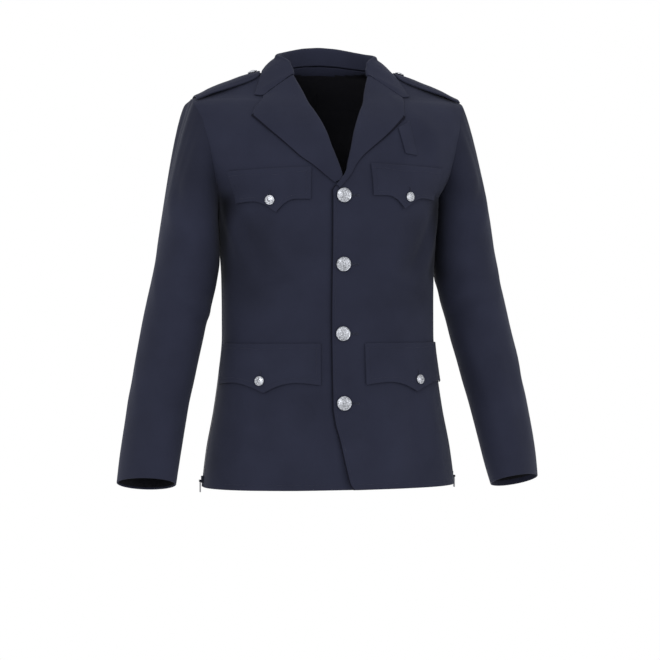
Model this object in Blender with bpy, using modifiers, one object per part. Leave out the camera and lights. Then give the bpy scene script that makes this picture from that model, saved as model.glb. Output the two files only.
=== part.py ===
"""Dress coat, worn and hollow: cloth walls lofted through worked-out sections.

Metres, +Z up, front towards -Y, the wearer's left towards +X. The origin is the middle of the neck
at the height of the high shoulder points. Tables are in millimetres.
"""

import math

import bmesh
import bpy
import numpy as np
from mathutils import Matrix, Vector

MM = 0.001

# Sizes in millimetres.
CLOTH = 2.0
COLLAR_CLOTH = 2.2
FLAP_CLOTH = 1.9
STRAP_CLOTH = 3.0
SEAM = 0.4
HEM_Z = -660.0

ARMHOLE_Z = -126.0
ARMHOLE_HALF_HEIGHT = 79.0
ARMHOLE_FRONT = 60.0
ARMHOLE_BACK = 65.0
UNDERARM_Z = ARMHOLE_Z - ARMHOLE_HALF_HEIGHT
SHOULDER_TIP_Z = ARMHOLE_Z + ARMHOLE_HALF_HEIGHT

OVERLAP = 19.0  # each front passes the centre line by this much
OVERLAP_LIFT = 1.5
BREAK_Z = -184.0  # where the lapels start to turn out

ZIP_TOP_Z = -478.0
ZIP_WIDTH = 7.0
ZIP_PARTING = 8.2
SLIDER_Z = -648.0
HINGE_OUT = 5.3  # the pull's pin, out from the coat's side
HINGE_DROP = 2.2
PIN_RADIUS = 0.7
BARREL_RADIUS = 1.5
PULL_THICKNESS = 1.4
PULL_WIDTH = 6.8
PULL_LENGTH = 17.8

# Boxes that make a slider: from and to out of the coat's side, half width, from and to in height.
SLIDER_COLUMNS = ("part", "near", "far", "half_y", "low", "high")
SLIDER_PARTS = (
    ("post", -1.2, 1.0, 2.6, -4, 4),
    ("slider", 0.6, 3.4, 3.7, -5.5, 5.5),
)
EAR_COLUMNS = ("near", "far", "inner_y", "outer_y", "low", "high")
EAR = (3.2, 6.8, 2.3, 3.3, -3.8, -0.6)

BIG_BUTTON = 22.9
SMALL_BUTTON = 15.2
FRONT_BUTTON_Z = (-204.0, -310.0, -418.0, -526.0)

# Horizontal sections of the body, from the neck down. Fullness 2 is an ellipse, more is squarer.
SECTION_COLUMNS = ("z", "half_width", "front", "back", "fullness")
SECTIONS = (
    (18, 69, 14, 59, 2.0),
    (3, 80, 22, 66, 2.0),
    (-2, 103, 30, 70, 1.85),
    (-7, 118, 35, 74, 1.75),
    (-12, 134, 39, 77, 1.7),
    (-20, 151, 45, 82, 1.65),
    (-31, 176, 53, 89, 1.65),
    (-42, 203, 61, 95, 1.68),
    (-47, 219, 65, 97, 1.72),
    (-53, 234, 69.5, 99, 1.9),
    (-60, 242, 75, 101, 2.0),
    (-70, 243, 83, 104, 2.1),
    (-80, 240, 91, 107, 2.15),
    (-102, 232, 104, 111, 2.3),
    (-126, 223, 113, 114, 2.3),
    (-150, 211, 121, 117, 2.3),
    (-172, 199, 126, 118, 2.3),
    (-190, 187, 129, 118, 2.3),
    (-205, 178, 130, 118, 2.3),
    (-235, 176, 129.5, 116, 2.3),
    (-270, 174, 128, 112, 2.3),
    (-330, 170.5, 122, 104, 2.3),
    (-380, 170, 118, 100, 2.3),
    (-420, 170, 117, 102, 2.3),
    (-480, 175.5, 120, 112, 2.3),
    (-540, 184, 124, 124, 2.3),
    (-600, 195.5, 127, 128, 2.3),
    (-664, 204, 128, 125, 2.3),
)

# Neck seam round the neck: the angle from the front, and its height.
NECK_COLUMNS = ("angle", "z")
NECK = (
    (62.3, -14),
    (66.6, -9.5),
    (71.8, -4.7),
    (77.2, -0.7),
    (83.4, 1.7),
    (90, 3),
    (110, 6),
    (135, 11),
    (160, 15),
    (180, 16),
)

# Inner edge of each front below the neck seam, in millimetres past the centre line on its own side.
EDGE_COLUMNS = ("z", "x")
LEFT_EDGE = (
    (-14, 64),
    (-19, 61),
    (-38, 54.5),
    (-59, 48),
    (-98, 29),
    (-125, 21),
    (-155, 11),
    (-183, 2.5),
    (-186, -6),
    (-190, -15),
    (-196, -19),
    (-536, -19),
    (-560, -15.5),
    (-581, -9.5),
    (-618, -2),
    (-645, 4),
    (-654, 7),
    (-660, 13),
)
RIGHT_EDGE = (
    (-14, 64),
    (-19, 61),
    (-38, 54.5),
    (-59, 48),
    (-98, 29),
    (-125, 21),
    (-155, 11),
    (-183, 4),
    (-190, -12),
    (-198, -19),
    (-560, -19),
    (-660, -17),
)

# Lapel rows from the break up to the gorge seam: a point of the roll line and one of the outer edge,
# with what the coat as worn adds to the edge on the left and on the right.
LAPEL_COLUMNS = ("roll_x", "roll_z", "edge_x", "edge_z", "left", "right")
LAPEL = (
    (3.2, -182, 6.5, -184, 0, 0),
    (6, -171, 20, -174, -9.5, 7),
    (11, -155, 35, -158, -14.5, 11),
    (16, -140, 51, -144, -18.5, 15),
    (21, -125, 66, -130, -16.5, 15),
    (25, -110, 82, -115, -13, 15),
    (30, -96, 97, -101, -11, 15),
    (36, -82, 110, -89, -11, 15),
    (42, -70, 120, -80, -11, 15),
    (48, -59, 117, -66, -7.7, 10.5),
    (54, -40, 114, -55, -2.2, 3),
    (60, -24, 112.8, -49.5, 0, 0),
    (64, -14, 112, -46.5, 0, 0),
)
NOTCH = (112.0, -46.2)
COLLAR_POINT = (125.5, -44.0)

# Cross-section of a turned-over piece: along is millimetres past the edge that it is turned over,
# share is a share of its width, height is above the panel under it.
ROLL_COLUMNS = ("along", "share", "height")
LAPEL_ROLL = (
    (-0.9, 0, -1.0),
    (-2.6, 0, -0.9),
    (-3.9, 0, 0.2),
    (-4.3, 0, 1.9),
    (-3.2, 0, 3.5),
    (-0.6, 0, 4.4),
    (2, 0.1, 4.6),
    (1, 0.3, 4.3),
    (0.5, 0.52, 3.7),
    (0, 0.77, 2.8),
    (0, 1, 1.5),
)

# Collar, from the gorge round to the middle of the back: the angle on the neck seam, the height of
# its fold over that seam, and its outer edge as an angle and a height on the body.
COLLAR_COLUMNS = ("angle", "fold", "edge_angle", "edge_z")
COLLAR = (
    (62.3, 3.9, 69.3, -45),
    (66.5, 8, 72.6, -36),
    (71.5, 13, 77.2, -21.3),
    (79, 18, 82.6, -8.2),
    (90, 22, 91, -2),
    (108, 24.5, 112, -1),
    (130, 26.5, 133, 0),
    (156, 28, 157, 1),
    (180, 28.5, 180, 1.5),
)

# Sleeve from the underarm down, for the left side.
SLEEVE_COLUMNS = ("z", "outer_x", "inner_x", "middle_y", "long_half", "turn")
SLEEVE = (
    (-250, 267.2, 177.8, 1, 68, 90),
    (-274, 271.0, 176.4, 1, 65.5, 90),
    (-300, 274.8, 175.8, 0, 62.5, 90),
    (-333, 281.6, 180.2, 0, 59.5, 89),
    (-365, 289.2, 187.4, -1, 58.5, 88),
    (-397, 296.2, 196.6, -2, 58, 87),
    (-429, 302.6, 204.2, -4, 57, 86),
    (-461, 309.0, 212.4, -9, 56.5, 83),
    (-493, 314.6, 220.2, -13, 56, 79),
    (-525, 321.0, 228.6, -18, 56, 75),
    (-557, 326.0, 235.4, -24, 56, 70),
    (-589, 331.2, 241.8, -29, 56, 65),
    (-621, 336.0, 248.0, -33, 56, 60),
    (-656, 340.2, 254.8, -38, 56, 54),
)
CUFF_TILT_Y = -0.27
CUFF_TILT_X = 0.175
CUFF_TILT_FROM_Z = -429.0
RIGHT_CUFF_RISE = 5.5  # as worn, the right sleeve ends this much higher

# Pocket flaps: inner corner, width along the cloth, top, drop of corners, arcs and point, slant.
FLAP_SHAPE_COLUMNS = ("width", "corner", "arc", "point", "point_share", "slant", "button_share")
CHEST_FLAP = (130, 50, 49, 68.5, 0.425, 5, 0.495)
HIP_FLAP = (189, 65, 61, 77, 0.46, 0, 0.495)
FLAP_COLUMNS = ("name", "side", "inner_x", "top_z", "button_z", "shape")
FLAPS = (
    ("chest_flap_left", 1, 46, -154, -205, CHEST_FLAP),
    ("chest_flap_right", -1, 50.5, -160, -211, CHEST_FLAP),
    ("hip_flap_left", 1, 35, -433, -491, HIP_FLAP),
    ("hip_flap_right", -1, 35, -433, -491, HIP_FLAP),
)

# Shoulder strap on its shoulder: distance out, half width, rise above the cloth.
STRAP_COLUMNS = ("x", "half_width", "rise")
STRAP = (
    (108.5, 8, 0.5),
    (111, 15, 0.5),
    (116, 19, 0.6),
    (126, 20.5, 1),
    (140, 21.5, 1.8),
    (156, 22.5, 3.2),
    (172, 23.5, 4.4),
    (188, 24.3, 4.4),
    (202, 25, 2.4),
    (213, 25, 0.9),
)
STRAP_BUTTON_X = 119.0

# Outlines of the turned buttons as shares of radius, and millimetres of height for the large one.
BUTTON_COLUMNS = ("radius", "height")
BUTTON = (
    (0, 5.2),
    (0.42, 4.9),
    (0.72, 4.0),
    (0.9, 2.8),
    (1, 2.5),
    (1, 1.3),
    (0.93, 0.6),
    (0, 0.6),
)

CLOTH_COLOUR = (0.022, 0.025, 0.042, 1)
METAL_COLOUR = (0.62, 0.62, 0.6, 1)
TAPE_COLOUR = (0.02, 0.02, 0.028, 1)


def column(table, columns, name):
    """One column of a table as an array."""
    return np.array([row[columns.index(name)] for row in table], float)


def smooth_through(at, xs, ys):
    """Values at given places of a smooth curve through points, with no overshoot."""
    order = np.argsort(xs)
    xs = np.asarray(xs, float)[order]
    ys = np.asarray(ys, float)[order]
    step = np.diff(xs)
    slope = np.diff(ys) / step
    tangent = np.zeros(len(xs))
    tangent[0] = slope[0]
    tangent[-1] = slope[-1]
    for i in range(1, len(xs) - 1):
        if slope[i - 1] * slope[i] > 0:
            before = 2 * step[i] + step[i - 1]
            after = step[i] + 2 * step[i - 1]
            tangent[i] = (before + after) / (before / slope[i - 1] + after / slope[i])
    at = np.clip(np.asarray(at, float), xs[0], xs[-1])
    i = np.clip(np.searchsorted(xs, at, side="right") - 1, 0, len(xs) - 2)
    t = (at - xs[i]) / step[i]
    return (
        (1 + 2 * t) * (1 - t) ** 2 * ys[i]
        + t * (1 - t) ** 2 * step[i] * tangent[i]
        + t**2 * (3 - 2 * t) * ys[i + 1]
        + t**2 * (t - 1) * step[i] * tangent[i + 1]
    )


def from_table(table, columns, key, name, at):
    """A column of a table at given values of its key column."""
    return smooth_through(at, column(table, columns, key), column(table, columns, name))


def ease(t):
    """0 to 1 with flat ends."""
    t = np.clip(t, 0, 1)
    return t * t * (3 - 2 * t)


def section(z):
    """Half width, front depth, back depth and fullness of the body at heights z."""
    return tuple(from_table(SECTIONS, SECTION_COLUMNS, "z", n, z) for n in SECTION_COLUMNS[1:])


def body_point(angle, z):
    """Points of the body's outside: angle in degrees from the front towards the wearer's left."""
    angle, z = np.broadcast_arrays(np.asarray(angle, float), np.asarray(z, float))
    half, front, back, power = section(z)
    sine = np.sin(np.radians(angle))
    cosine = np.cos(np.radians(angle))
    depth = np.where(cosine > 0, front, back)
    reach = ((np.abs(sine) / half) ** power + (np.abs(cosine) / depth) ** power) ** (-1 / power)
    return np.stack([reach * sine, -reach * cosine, z], axis=-1)


def body_normal(angle, z):
    """Unit vectors pointing out of the body's surface."""
    round_it = body_point(np.asarray(angle) + 0.5, z) - body_point(np.asarray(angle) - 0.5, z)
    up_it = body_point(angle, np.asarray(z) + 1.5) - body_point(angle, np.asarray(z) - 1.5)
    out = np.cross(round_it, up_it)
    return out / np.linalg.norm(out, axis=-1, keepdims=True)


def lifted(angle, z, lift):
    """Points that far above the body's surface."""
    return body_point(angle, z) + body_normal(angle, z) * np.asarray(lift, float)[..., None]


def angle_at_x(x, z):
    """Angle of the front of the body at a distance from the centre line."""
    half, front, _, power = section(z)
    share = np.clip(np.abs(x) / half, 0, 0.9999)
    depth = front * (1 - share**power) ** (1 / power)
    return np.degrees(np.arctan2(x, depth))


def angle_at_y(y, z):
    """Angle of the wearer's left side of the body at a depth y."""
    half, front, back, power = section(z)
    depth = np.where(np.asarray(y) < 0, front, back)
    share = np.clip(np.abs(y) / depth, 0, 0.9999)
    out = half * (1 - share**power) ** (1 / power)
    return np.degrees(np.arctan2(out, -np.asarray(y, float)))


def clear_of_body(points, least):
    """Points moved out where needed until they are that far above the body's surface."""
    points = np.array(points, float)
    for _ in range(4):
        x, y, z = points[..., 0], points[..., 1], np.minimum(points[..., 2], 16)
        angle = np.degrees(np.arctan2(x, -y))
        gap = points - body_point(angle, z)
        normal = body_normal(angle, z)
        away = (gap * normal).sum(-1)
        short = np.where(points[..., 2] < 16, np.maximum(least - away, 0), 0)
        points += normal * short[..., None]
    return points


def shoulder_height(x, y):
    """Height of the shoulder's surface above a place in plan."""
    low = np.full(np.shape(x), -140.0)
    high = np.full(np.shape(x), 3.0)
    for _ in range(40):
        middle = (low + high) / 2
        half, front, back, power = section(middle)
        depth = np.where(y < 0, front, back)
        outside = (np.abs(x) / half) ** power + (np.abs(y) / depth) ** power > 1
        high = np.where(outside, middle, high)
        low = np.where(outside, low, middle)
    return (low + high) / 2


def front_lift(side, x, z):
    """How far a front lies above the body's surface, for the overlap and the open lower corner."""
    near = 1 - ease((np.abs(x) - 23) / 50)
    lift = (OVERLAP_LIFT if side > 0 else -OVERLAP_LIFT) * near
    if side > 0:
        low = ease((-560 - z) / 95)
        lift = lift + 4.5 * low * (1 - ease((x + 5) / 75))
    return lift


def on_front(side, x, z, lift):
    """Points above a front, x being millimetres past the centre line on that front's own side."""
    angle = angle_at_x(x, z)
    points = lifted(angle, z, np.asarray(lift) + front_lift(side, x, z))
    points[..., 0] *= side
    return points


def spread_angles(start, end, z, count):
    """Angles between two angles at a height, spaced evenly along the cloth."""
    fine = np.linspace(start, end, 90)
    points = body_point(fine, np.full(90, z))
    along = np.concatenate([[0], np.cumsum(np.linalg.norm(np.diff(points, axis=0), axis=1))])
    return np.interp(np.linspace(0, along[-1], count), along, fine)


def armhole_depth(z, reach):
    """Depth of the armhole's edge at a height, 0 above and below it."""
    share = np.clip((z - ARMHOLE_Z) / ARMHOLE_HALF_HEIGHT, -1, 1)
    return reach * math.sqrt(1 - share * share)


def side_parting(z):
    """Half of the gap at the side seam: a seam above, wider where the zip is let in."""
    zip_part = ease((ZIP_TOP_Z + 26 - z) / 26) if z < UNDERARM_Z else 0
    return SEAM / 2 + (ZIP_PARTING / 2 - SEAM / 2) * zip_part


def outer_angle(z, reach, sign):
    """Angle of a panel's side edge: the side seam, the armhole or the shoulder seam."""
    if UNDERARM_Z < z < SHOULDER_TIP_Z:
        depth = max(armhole_depth(z, reach), side_parting(z))
    else:
        depth = side_parting(z)
    return float(angle_at_y(np.array(sign * depth), z))


def panel_rows():
    """Heights of the rows that the fronts and the back share, from the hem up."""
    vent = np.linspace(HEM_Z + 22, ZIP_TOP_Z, 7)
    body = np.concatenate([vent, np.linspace(ZIP_TOP_Z, UNDERARM_Z, 11)[1:-1]])
    turn = np.radians([0, 22.5, 45, 67.5, 90, 112.5, 135, 157.5, 169, 180])
    arm = ARMHOLE_Z - ARMHOLE_HALF_HEIGHT * np.cos(turn)
    shoulder = np.array([-40, -32, -24, -16.5, -10, -4.5, 1.5])
    return [HEM_Z, HEM_Z + 4, HEM_Z + 10], list(body), list(arm), list(shoulder)


def link(name, points, faces, colour, metal=False):
    """A mesh object in the coat's collection with its own material."""
    mesh = bpy.data.meshes.new(name)
    mesh.from_pydata([tuple(p) for p in np.asarray(points, float) * MM], [], faces)
    shape = bmesh.new()
    shape.from_mesh(mesh)
    bmesh.ops.recalc_face_normals(shape, faces=shape.faces)
    shape.to_mesh(mesh)
    shape.free()
    obj = bpy.data.objects.new(name, mesh)
    coat.objects.link(obj)
    paint(obj, colour, metal)
    mesh.shade_smooth()
    return obj


def paint(obj, colour, metal=False):
    """Gives an object its own material."""
    material = bpy.data.materials.new(obj.name)
    material.use_nodes = True
    shader = material.node_tree.nodes["Principled BSDF"]
    shader.inputs["Base Color"].default_value = colour
    shader.inputs["Metallic"].default_value = 1 if metal else 0
    shader.inputs["Roughness"].default_value = 0.35 if metal else 0.9
    obj.data.materials.append(material)


def wall(name, outer, inner, ring=False, colour=CLOTH_COLOUR):
    """A closed cloth wall between two grids of rows of points; ring joins each row's ends."""
    rows, across = outer.shape[:2]
    points = np.concatenate([outer.reshape(-1, 3), inner.reshape(-1, 3)])
    below = rows * across
    faces = []
    for i in range(rows - 1):
        for j in range(across if ring else across - 1):
            k = (j + 1) % across
            quad = (i * across + j, i * across + k, (i + 1) * across + k, (i + 1) * across + j)
            faces.append(quad)
            faces.append(tuple(below + q for q in reversed(quad)))
    for i in (0, rows - 1):
        for j in range(across if ring else across - 1):
            a = i * across + j
            b = i * across + (j + 1) % across
            faces.append((b, a, below + a, below + b) if i == 0 else (a, b, below + b, below + a))
    if not ring:
        for i in range(rows - 1):
            for j in (0, across - 1):
                a = i * across + j
                b = (i + 1) * across + j
                faces.append((a, b, below + b, below + a) if j == 0 else (b, a, below + a, below + b))
    return link(name, points, faces, colour)


def grid_normals(grid, ring=False):
    """Unit normals of a grid of points, from its rows and columns."""
    along = np.gradient(grid, axis=0)
    if ring:
        across = (np.roll(grid, -1, axis=1) - np.roll(grid, 1, axis=1)) / 2
    else:
        across = np.gradient(grid, axis=1)
    out = np.cross(across, along)
    return out / np.linalg.norm(out, axis=-1, keepdims=True)


def thick_wall(name, middle, cloth, ring=False):
    """A cloth wall of even thickness on both sides of a grid of points."""
    out = grid_normals(middle, ring)
    return wall(name, middle + out * cloth / 2, middle - out * cloth / 2, ring)


def make_fronts():
    """Both fronts, the left one lying over the right one."""
    hem, body, arm, shoulder = panel_rows()
    extra = [BREAK_Z - 12, BREAK_Z - 6, BREAK_Z - 2, BREAK_Z + 1]
    heights = sorted(hem + body + arm + extra + shoulder)
    for name, side, edge in (("front_left", 1, LEFT_EDGE), ("front_right", -1, RIGHT_EDGE)):
        outer = []
        inner = []
        for z in heights:
            if z > NECK[0][1]:
                start = float(from_table(NECK, NECK_COLUMNS, "z", "angle", z))
            else:
                edge_z = column(edge, EDGE_COLUMNS, "z")[::-1]
                x = np.interp(z, edge_z, column(edge, EDGE_COLUMNS, "x")[::-1])
                start = float(angle_at_x(x, z))
            end = outer_angle(z, ARMHOLE_FRONT, -1)
            angles = spread_angles(start, end, z, 11)
            level = np.full(11, z)
            x = body_point(angles, level)[:, 0]
            lift = front_lift(side, x, level)
            outer.append(lifted(angles, level, lift))
            inner.append(lifted(angles, level, lift - CLOTH))
        outer, inner = np.array(outer), np.array(inner)
        outer[..., 0] *= side
        inner[..., 0] *= side
        wall(name, outer, inner)


def make_back():
    """The back, from side seam to side seam, rising to the neck."""
    hem, body, arm, shoulder = panel_rows()
    heights = sorted([hem[0]] + body + arm + shoulder)
    outer = []
    inner = []
    for z in heights:
        angles = spread_angles(outer_angle(z, ARMHOLE_BACK, 1), 180, z, 10)
        angles = np.concatenate([angles, 360 - angles[-2::-1]])
        away = np.abs(angles - 180)
        rise = from_table(NECK, NECK_COLUMNS, "angle", "z", 180 - away) - 3
        level = z + np.maximum(rise, 0) * ease((z - SHOULDER_TIP_Z) / (1.5 - SHOULDER_TIP_Z))
        outer.append(lifted(angles, level, np.zeros(len(angles))))
        inner.append(lifted(angles, level, np.full(len(angles), -CLOTH)))
    wall("back", np.array(outer), np.array(inner))


def armhole_ring(turn):
    """Where the left sleeve's cloth starts, its start direction and the armhole's own frame."""
    c = np.cos(np.radians(turn))
    s = np.sin(np.radians(turn))
    z = ARMHOLE_Z + ARMHOLE_HALF_HEIGHT * c
    y = np.where(s > 0, -ARMHOLE_FRONT * s, -ARMHOLE_BACK * s)
    angle = angle_at_y(y, z)
    edge = body_point(angle, z)
    out = body_normal(angle, z)
    tangent = np.roll(edge, -1, axis=0) - np.roll(edge, 1, axis=0)
    into = np.cross(tangent, out)
    into /= np.linalg.norm(into, axis=-1, keepdims=True)
    middle = np.array([215.0, 0, ARMHOLE_Z])
    into *= np.sign((into * (middle - edge)).sum(-1))[:, None]
    low = ((1 - c) / 2)[:, None]
    start = edge + into * (2.3 - 0.9 * low) + out * (-1 + 2.6 * low)
    top, bottom, side = ((1 + c) / 2) ** 2, ((1 - c) / 2) ** 2, (1 - c * c) / 2
    down = np.array([0, 0, -1.0])
    go = (
        (0.27 * top + 0.35 * side)[:, None] * into
        + (0.45 * side + 0.25 * bottom)[:, None] * out
        + (0.5 * top + 0.75 * side + bottom)[:, None] * down
    )
    return start, go / np.linalg.norm(go, axis=-1, keepdims=True)


def sleeve_ring(z, turn):
    """A ring of the left sleeve at a height of its middle."""
    outer, inner, middle_y, long_half, lean = (
        float(from_table(SLEEVE, SLEEVE_COLUMNS, "z", n, z)) for n in SLEEVE_COLUMNS[1:]
    )
    half = (outer - inner) / 2
    lean = math.radians(lean)
    short_half = math.sqrt(half**2 - (long_half * math.cos(lean)) ** 2) / math.sin(lean)
    c = np.cos(np.radians(turn))
    s = np.sin(np.radians(turn))
    # The ring's points keep their direction from its middle, so that no row twists.
    reach = 1 / np.sqrt(
        ((c * math.cos(lean) - s * math.sin(lean)) / long_half) ** 2
        + ((-c * math.sin(lean) - s * math.cos(lean)) / short_half) ** 2
    )
    x = c * reach
    y = -s * reach
    tilt = cuff_share(z)
    height = z + tilt * (CUFF_TILT_Y * y + CUFF_TILT_X * x)
    return np.stack([(outer + inner) / 2 + x, middle_y + y, height], axis=-1)


def cuff_share(z):
    """How far down the forearm a height is, from 0 at the elbow to 1 at the hem."""
    return ease((CUFF_TILT_FROM_Z - z) / (CUFF_TILT_FROM_Z - SLEEVE[-1][0]))


def make_sleeves():
    """Both sleeves: the cap curves from the armhole into rings down to the cuff."""
    turn = np.arange(24) * 15.0
    start, go = armhole_ring(turn)
    first = sleeve_ring(SLEEVE[0][0], turn)
    onward = sleeve_ring(SLEEVE[0][0] - 6, turn) - first
    onward /= np.linalg.norm(onward, axis=-1, keepdims=True)
    reach = np.linalg.norm(first - start, axis=-1, keepdims=True)
    rows = []
    for t in np.linspace(0, 1, 7)[:-1]:
        rows.append(
            (1 + 2 * t) * (1 - t) ** 2 * start
            + t * (1 - t) ** 2 * 0.57 * reach * go
            + t * t * (3 - 2 * t) * first
            + t * t * (t - 1) * 0.72 * reach * onward
        )
    rows += [sleeve_ring(z, turn) for z in np.linspace(SLEEVE[0][0], SLEEVE[-1][0], 13)]
    middle = np.array(rows)
    for name, side in (("sleeve_left", 1), ("sleeve_right", -1)):
        points = middle * np.array([side, 1, 1])
        if side < 0:
            points[..., 2] += RIGHT_CUFF_RISE * cuff_share(points[..., 2])
        thick_wall(name, points, CLOTH, ring=True)


def lapel_row(row, side):
    """Cross-section of a lapel at one row of its table."""
    roll_x, roll_z, edge_x, edge_z, left, right = row
    edge_x += left if side > 0 else right
    width = math.hypot(edge_x - roll_x, edge_z - roll_z)
    step = np.array([edge_x - roll_x, edge_z - roll_z]) / width
    small = 0.42 + 0.58 * min(1, width / 30)
    share = column(LAPEL_ROLL, ROLL_COLUMNS, "share")
    along = column(LAPEL_ROLL, ROLL_COLUMNS, "along")
    along = np.where(share > 0, along * small, -0.9 + (along + 0.9) * small) + share * width
    height = column(LAPEL_ROLL, ROLL_COLUMNS, "height")
    height = np.where(height > 1.5, 1.5 + (height - 1.5) * small, height)
    x = roll_x + step[0] * along
    z = roll_z + step[1] * along
    return on_front(side, x, z, height)


def make_lapels():
    """Both lapels, turned over the inner edges of the fronts."""
    for name, side in (("lapel_left", 1), ("lapel_right", -1)):
        first = LAPEL[0] if side > 0 else (5.2, -178.5, 12, -181, 0, 1.5)
        rows = [lapel_row(row, side) for row in (first, *LAPEL[1:])]
        thick_wall(name, np.array(rows), COLLAR_CLOTH)


def neck_seam(angle):
    """A point of the neck seam."""
    return body_point(angle, float(from_table(NECK, NECK_COLUMNS, "angle", "z", angle)))


def collar_half():
    """Rows of the left half of the collar, from the gorge to the middle of the back."""
    places = np.concatenate([[0], np.linspace(0.5, 8, 14)])
    index = np.arange(len(COLLAR))
    values = [smooth_through(places, index, column(COLLAR, COLLAR_COLUMNS, n)) for n in COLLAR_COLUMNS]
    rows = []
    for angle, fold, edge_angle, edge_z in zip(*values):
        z = neck_seam(angle)[2]
        ahead = neck_seam(angle + 1)
        behind = neck_seam(angle - 1)
        out = body_normal(angle, z)
        flat_out = out * np.array([1, 1, 0])
        flat_out /= np.linalg.norm(flat_out)
        away = np.cross(out, ahead - behind)
        away /= np.linalg.norm(away)
        away *= np.sign(away[2])
        stand = ease((angle - NECK[0][0]) / 30)
        rise = away * (1 - stand) + (np.array([0, 0, 1]) - 0.06 * flat_out) * stand
        rise /= np.linalg.norm(rise)
        out = out * (1 - stand) + flat_out * stand
        low = lifted(angle, z, np.array(-1.0)) + away * SEAM * (1 + 3 * ease((118 - angle) / 20))
        turn = (
            (0, 0),
            (0.46 * fold, 0.1),
            (0.88 * fold, 0.5 + 0.6 * (1 - stand)),
            (fold, 2.4 + 0.4 * (1 - stand)),
            (fold - 1.2, 5.0),
            (fold - 3.8 - 1.8 * stand, 6.6 - 1.2 * (1 - stand)),
        )
        points = [low + rise * up + out * over for up, over in turn]
        edge = lifted(edge_angle, edge_z, np.array(1.7))
        for share in (0.2, 0.42, 0.64, 0.84, 1):
            bulge = 4 * share * (1 - share) * (1.2 + 1.6 * stand)
            points.append(points[5] * (1 - share) + edge * share + out * bulge)
        rows.append(points)
    rows = np.array(rows)
    gorge = lapel_row(LAPEL[-1], 1) + np.array([0.9, 0, 1.5])
    rows[0, :6] = gorge[:6]
    for i, share in ((6, 0.25), (7, 0.5), (8, 0.76), (9, 1)):
        x = LAPEL[-1][0] + (NOTCH[0] - LAPEL[-1][0]) * share
        z = LAPEL[-1][1] + (NOTCH[1] - LAPEL[-1][1]) * share + 0.9
        rows[0, i] = on_front(1, np.array(x), np.array(z), 4.6 - 2.6 * share)
    rows[0, 10] = on_front(1, np.array(COLLAR_POINT[0]), np.array(COLLAR_POINT[1]), 1.9)
    rows[:, 6:] = clear_of_body(rows[:, 6:], 1.6)
    return rows


def make_collar():
    """The collar: up from the neck seam, folded over and lying on the shoulders."""
    left = collar_half()
    right = left[-2::-1] * np.array([-1, 1, 1])
    thick_wall("collar", np.concatenate([left, right]), COLLAR_CLOTH)


def flap_drop(share, corner, arc, point, middle):
    """Length of a flap at a share of its width: two hollow arcs that meet in a point."""
    near = np.where(share < middle, (middle - share) / middle, (share - middle) / (1 - middle))
    to_point = np.clip(1 - near / 0.55, 0, 1)
    to_corner = np.clip((near - 0.55) / 0.45, 0, 1)
    return arc + (point - arc) * to_point**1.9 + (corner - arc) * to_corner**1.6


def flap_angles(flap):
    """Angles of a flap's columns on the body, evenly spaced along the cloth."""
    z = flap["top_z"] - flap["corner"] / 2
    start = float(angle_at_x(np.array(float(flap["inner_x"])), z))
    fine = np.linspace(start, 92, 200)
    points = body_point(fine, np.full(200, z))
    along = np.concatenate([[0], np.cumsum(np.linalg.norm(np.diff(points, axis=0), axis=1))])
    return np.interp(np.linspace(0, flap["width"], 13), along, fine)


def flap_place(flap, share, z, lift):
    """A point above a front at a share of a flap's width."""
    angle = np.interp(share, np.linspace(0, 1, 13), flap_angles(flap))
    x = body_point(angle, z)[..., 0]
    return on_front(flap["side"], x, z, lift)


def flap_list():
    """Each pocket flap's row of sizes with the sizes of its shape."""
    flaps = []
    for values in FLAPS:
        flap = dict(zip(FLAP_COLUMNS, values))
        flap.update(zip(FLAP_SHAPE_COLUMNS, flap["shape"]))
        flaps.append(flap)
    return flaps


def make_flaps():
    """Pocket flaps on both fronts, lying on the cloth and easing away at the bottom."""
    for flap in flap_list():
        middle = flap["point_share"]
        share = np.concatenate([np.linspace(0, middle, 7), np.linspace(middle, 1, 7)[1:]])
        drop = flap_drop(share, flap["corner"], flap["arc"], flap["point"], middle)
        outer = []
        inner = []
        for down in (0, 0.15, 0.55, 1):
            z = flap["top_z"] - flap["slant"] * share - drop * down
            rise = 0.85 + 0.6 * down**2
            inner.append(flap_place(flap, share, z, np.full(13, rise)))
            outer.append(flap_place(flap, share, z, np.full(13, rise + FLAP_CLOTH)))
        wall(flap["name"], np.array(outer), np.array(inner))


def make_badge_tab():
    """The short flat tab below the left lapel."""
    outer = []
    inner = []
    for down in np.linspace(0, 1, 6):
        share = np.linspace(0, 1, 4)
        top_z = -97 + 12 * share
        z = top_z * (1 - down) - (137.5 + 2.5 * share) * down
        x = 94.5 + 20.5 * share + 8.5 * down
        inner.append(on_front(1, x, z, np.full(4, 1.2)))
        outer.append(on_front(1, x, z, np.full(4, 2.6)))
    wall("badge_tab", np.array(outer), np.array(inner))


def make_straps():
    """Shoulder straps from the sleeve seam to the collar, bowed up off the shoulder."""
    x = column(STRAP, STRAP_COLUMNS, "x")
    half = column(STRAP, STRAP_COLUMNS, "half_width")
    rise = column(STRAP, STRAP_COLUMNS, "rise")
    share = np.linspace(-1, 1, 5)
    plan_x = np.repeat(x[:, None], 5, axis=1)
    plan_y = half[:, None] * share[None, :]
    ridge = shoulder_height(plan_x, plan_y)
    top = ridge.max(axis=1, keepdims=True)
    # The strap is stiffer than the cloth under it, so it drops less at its sides.
    soft = ridge + 0.3 * (top - ridge) * (1 - np.abs(share[None, :]) ** 3)
    low = np.stack([plan_x, plan_y, soft + 0.6 + rise[:, None]], axis=-1)
    out = grid_normals(low)
    out *= np.sign(out[..., 2:3])
    for name, side in (("shoulder_strap_left", 1), ("shoulder_strap_right", -1)):
        flip = np.array([side, 1, 1])
        wall(name, (low + out * STRAP_CLOTH) * flip, low * flip)


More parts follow.
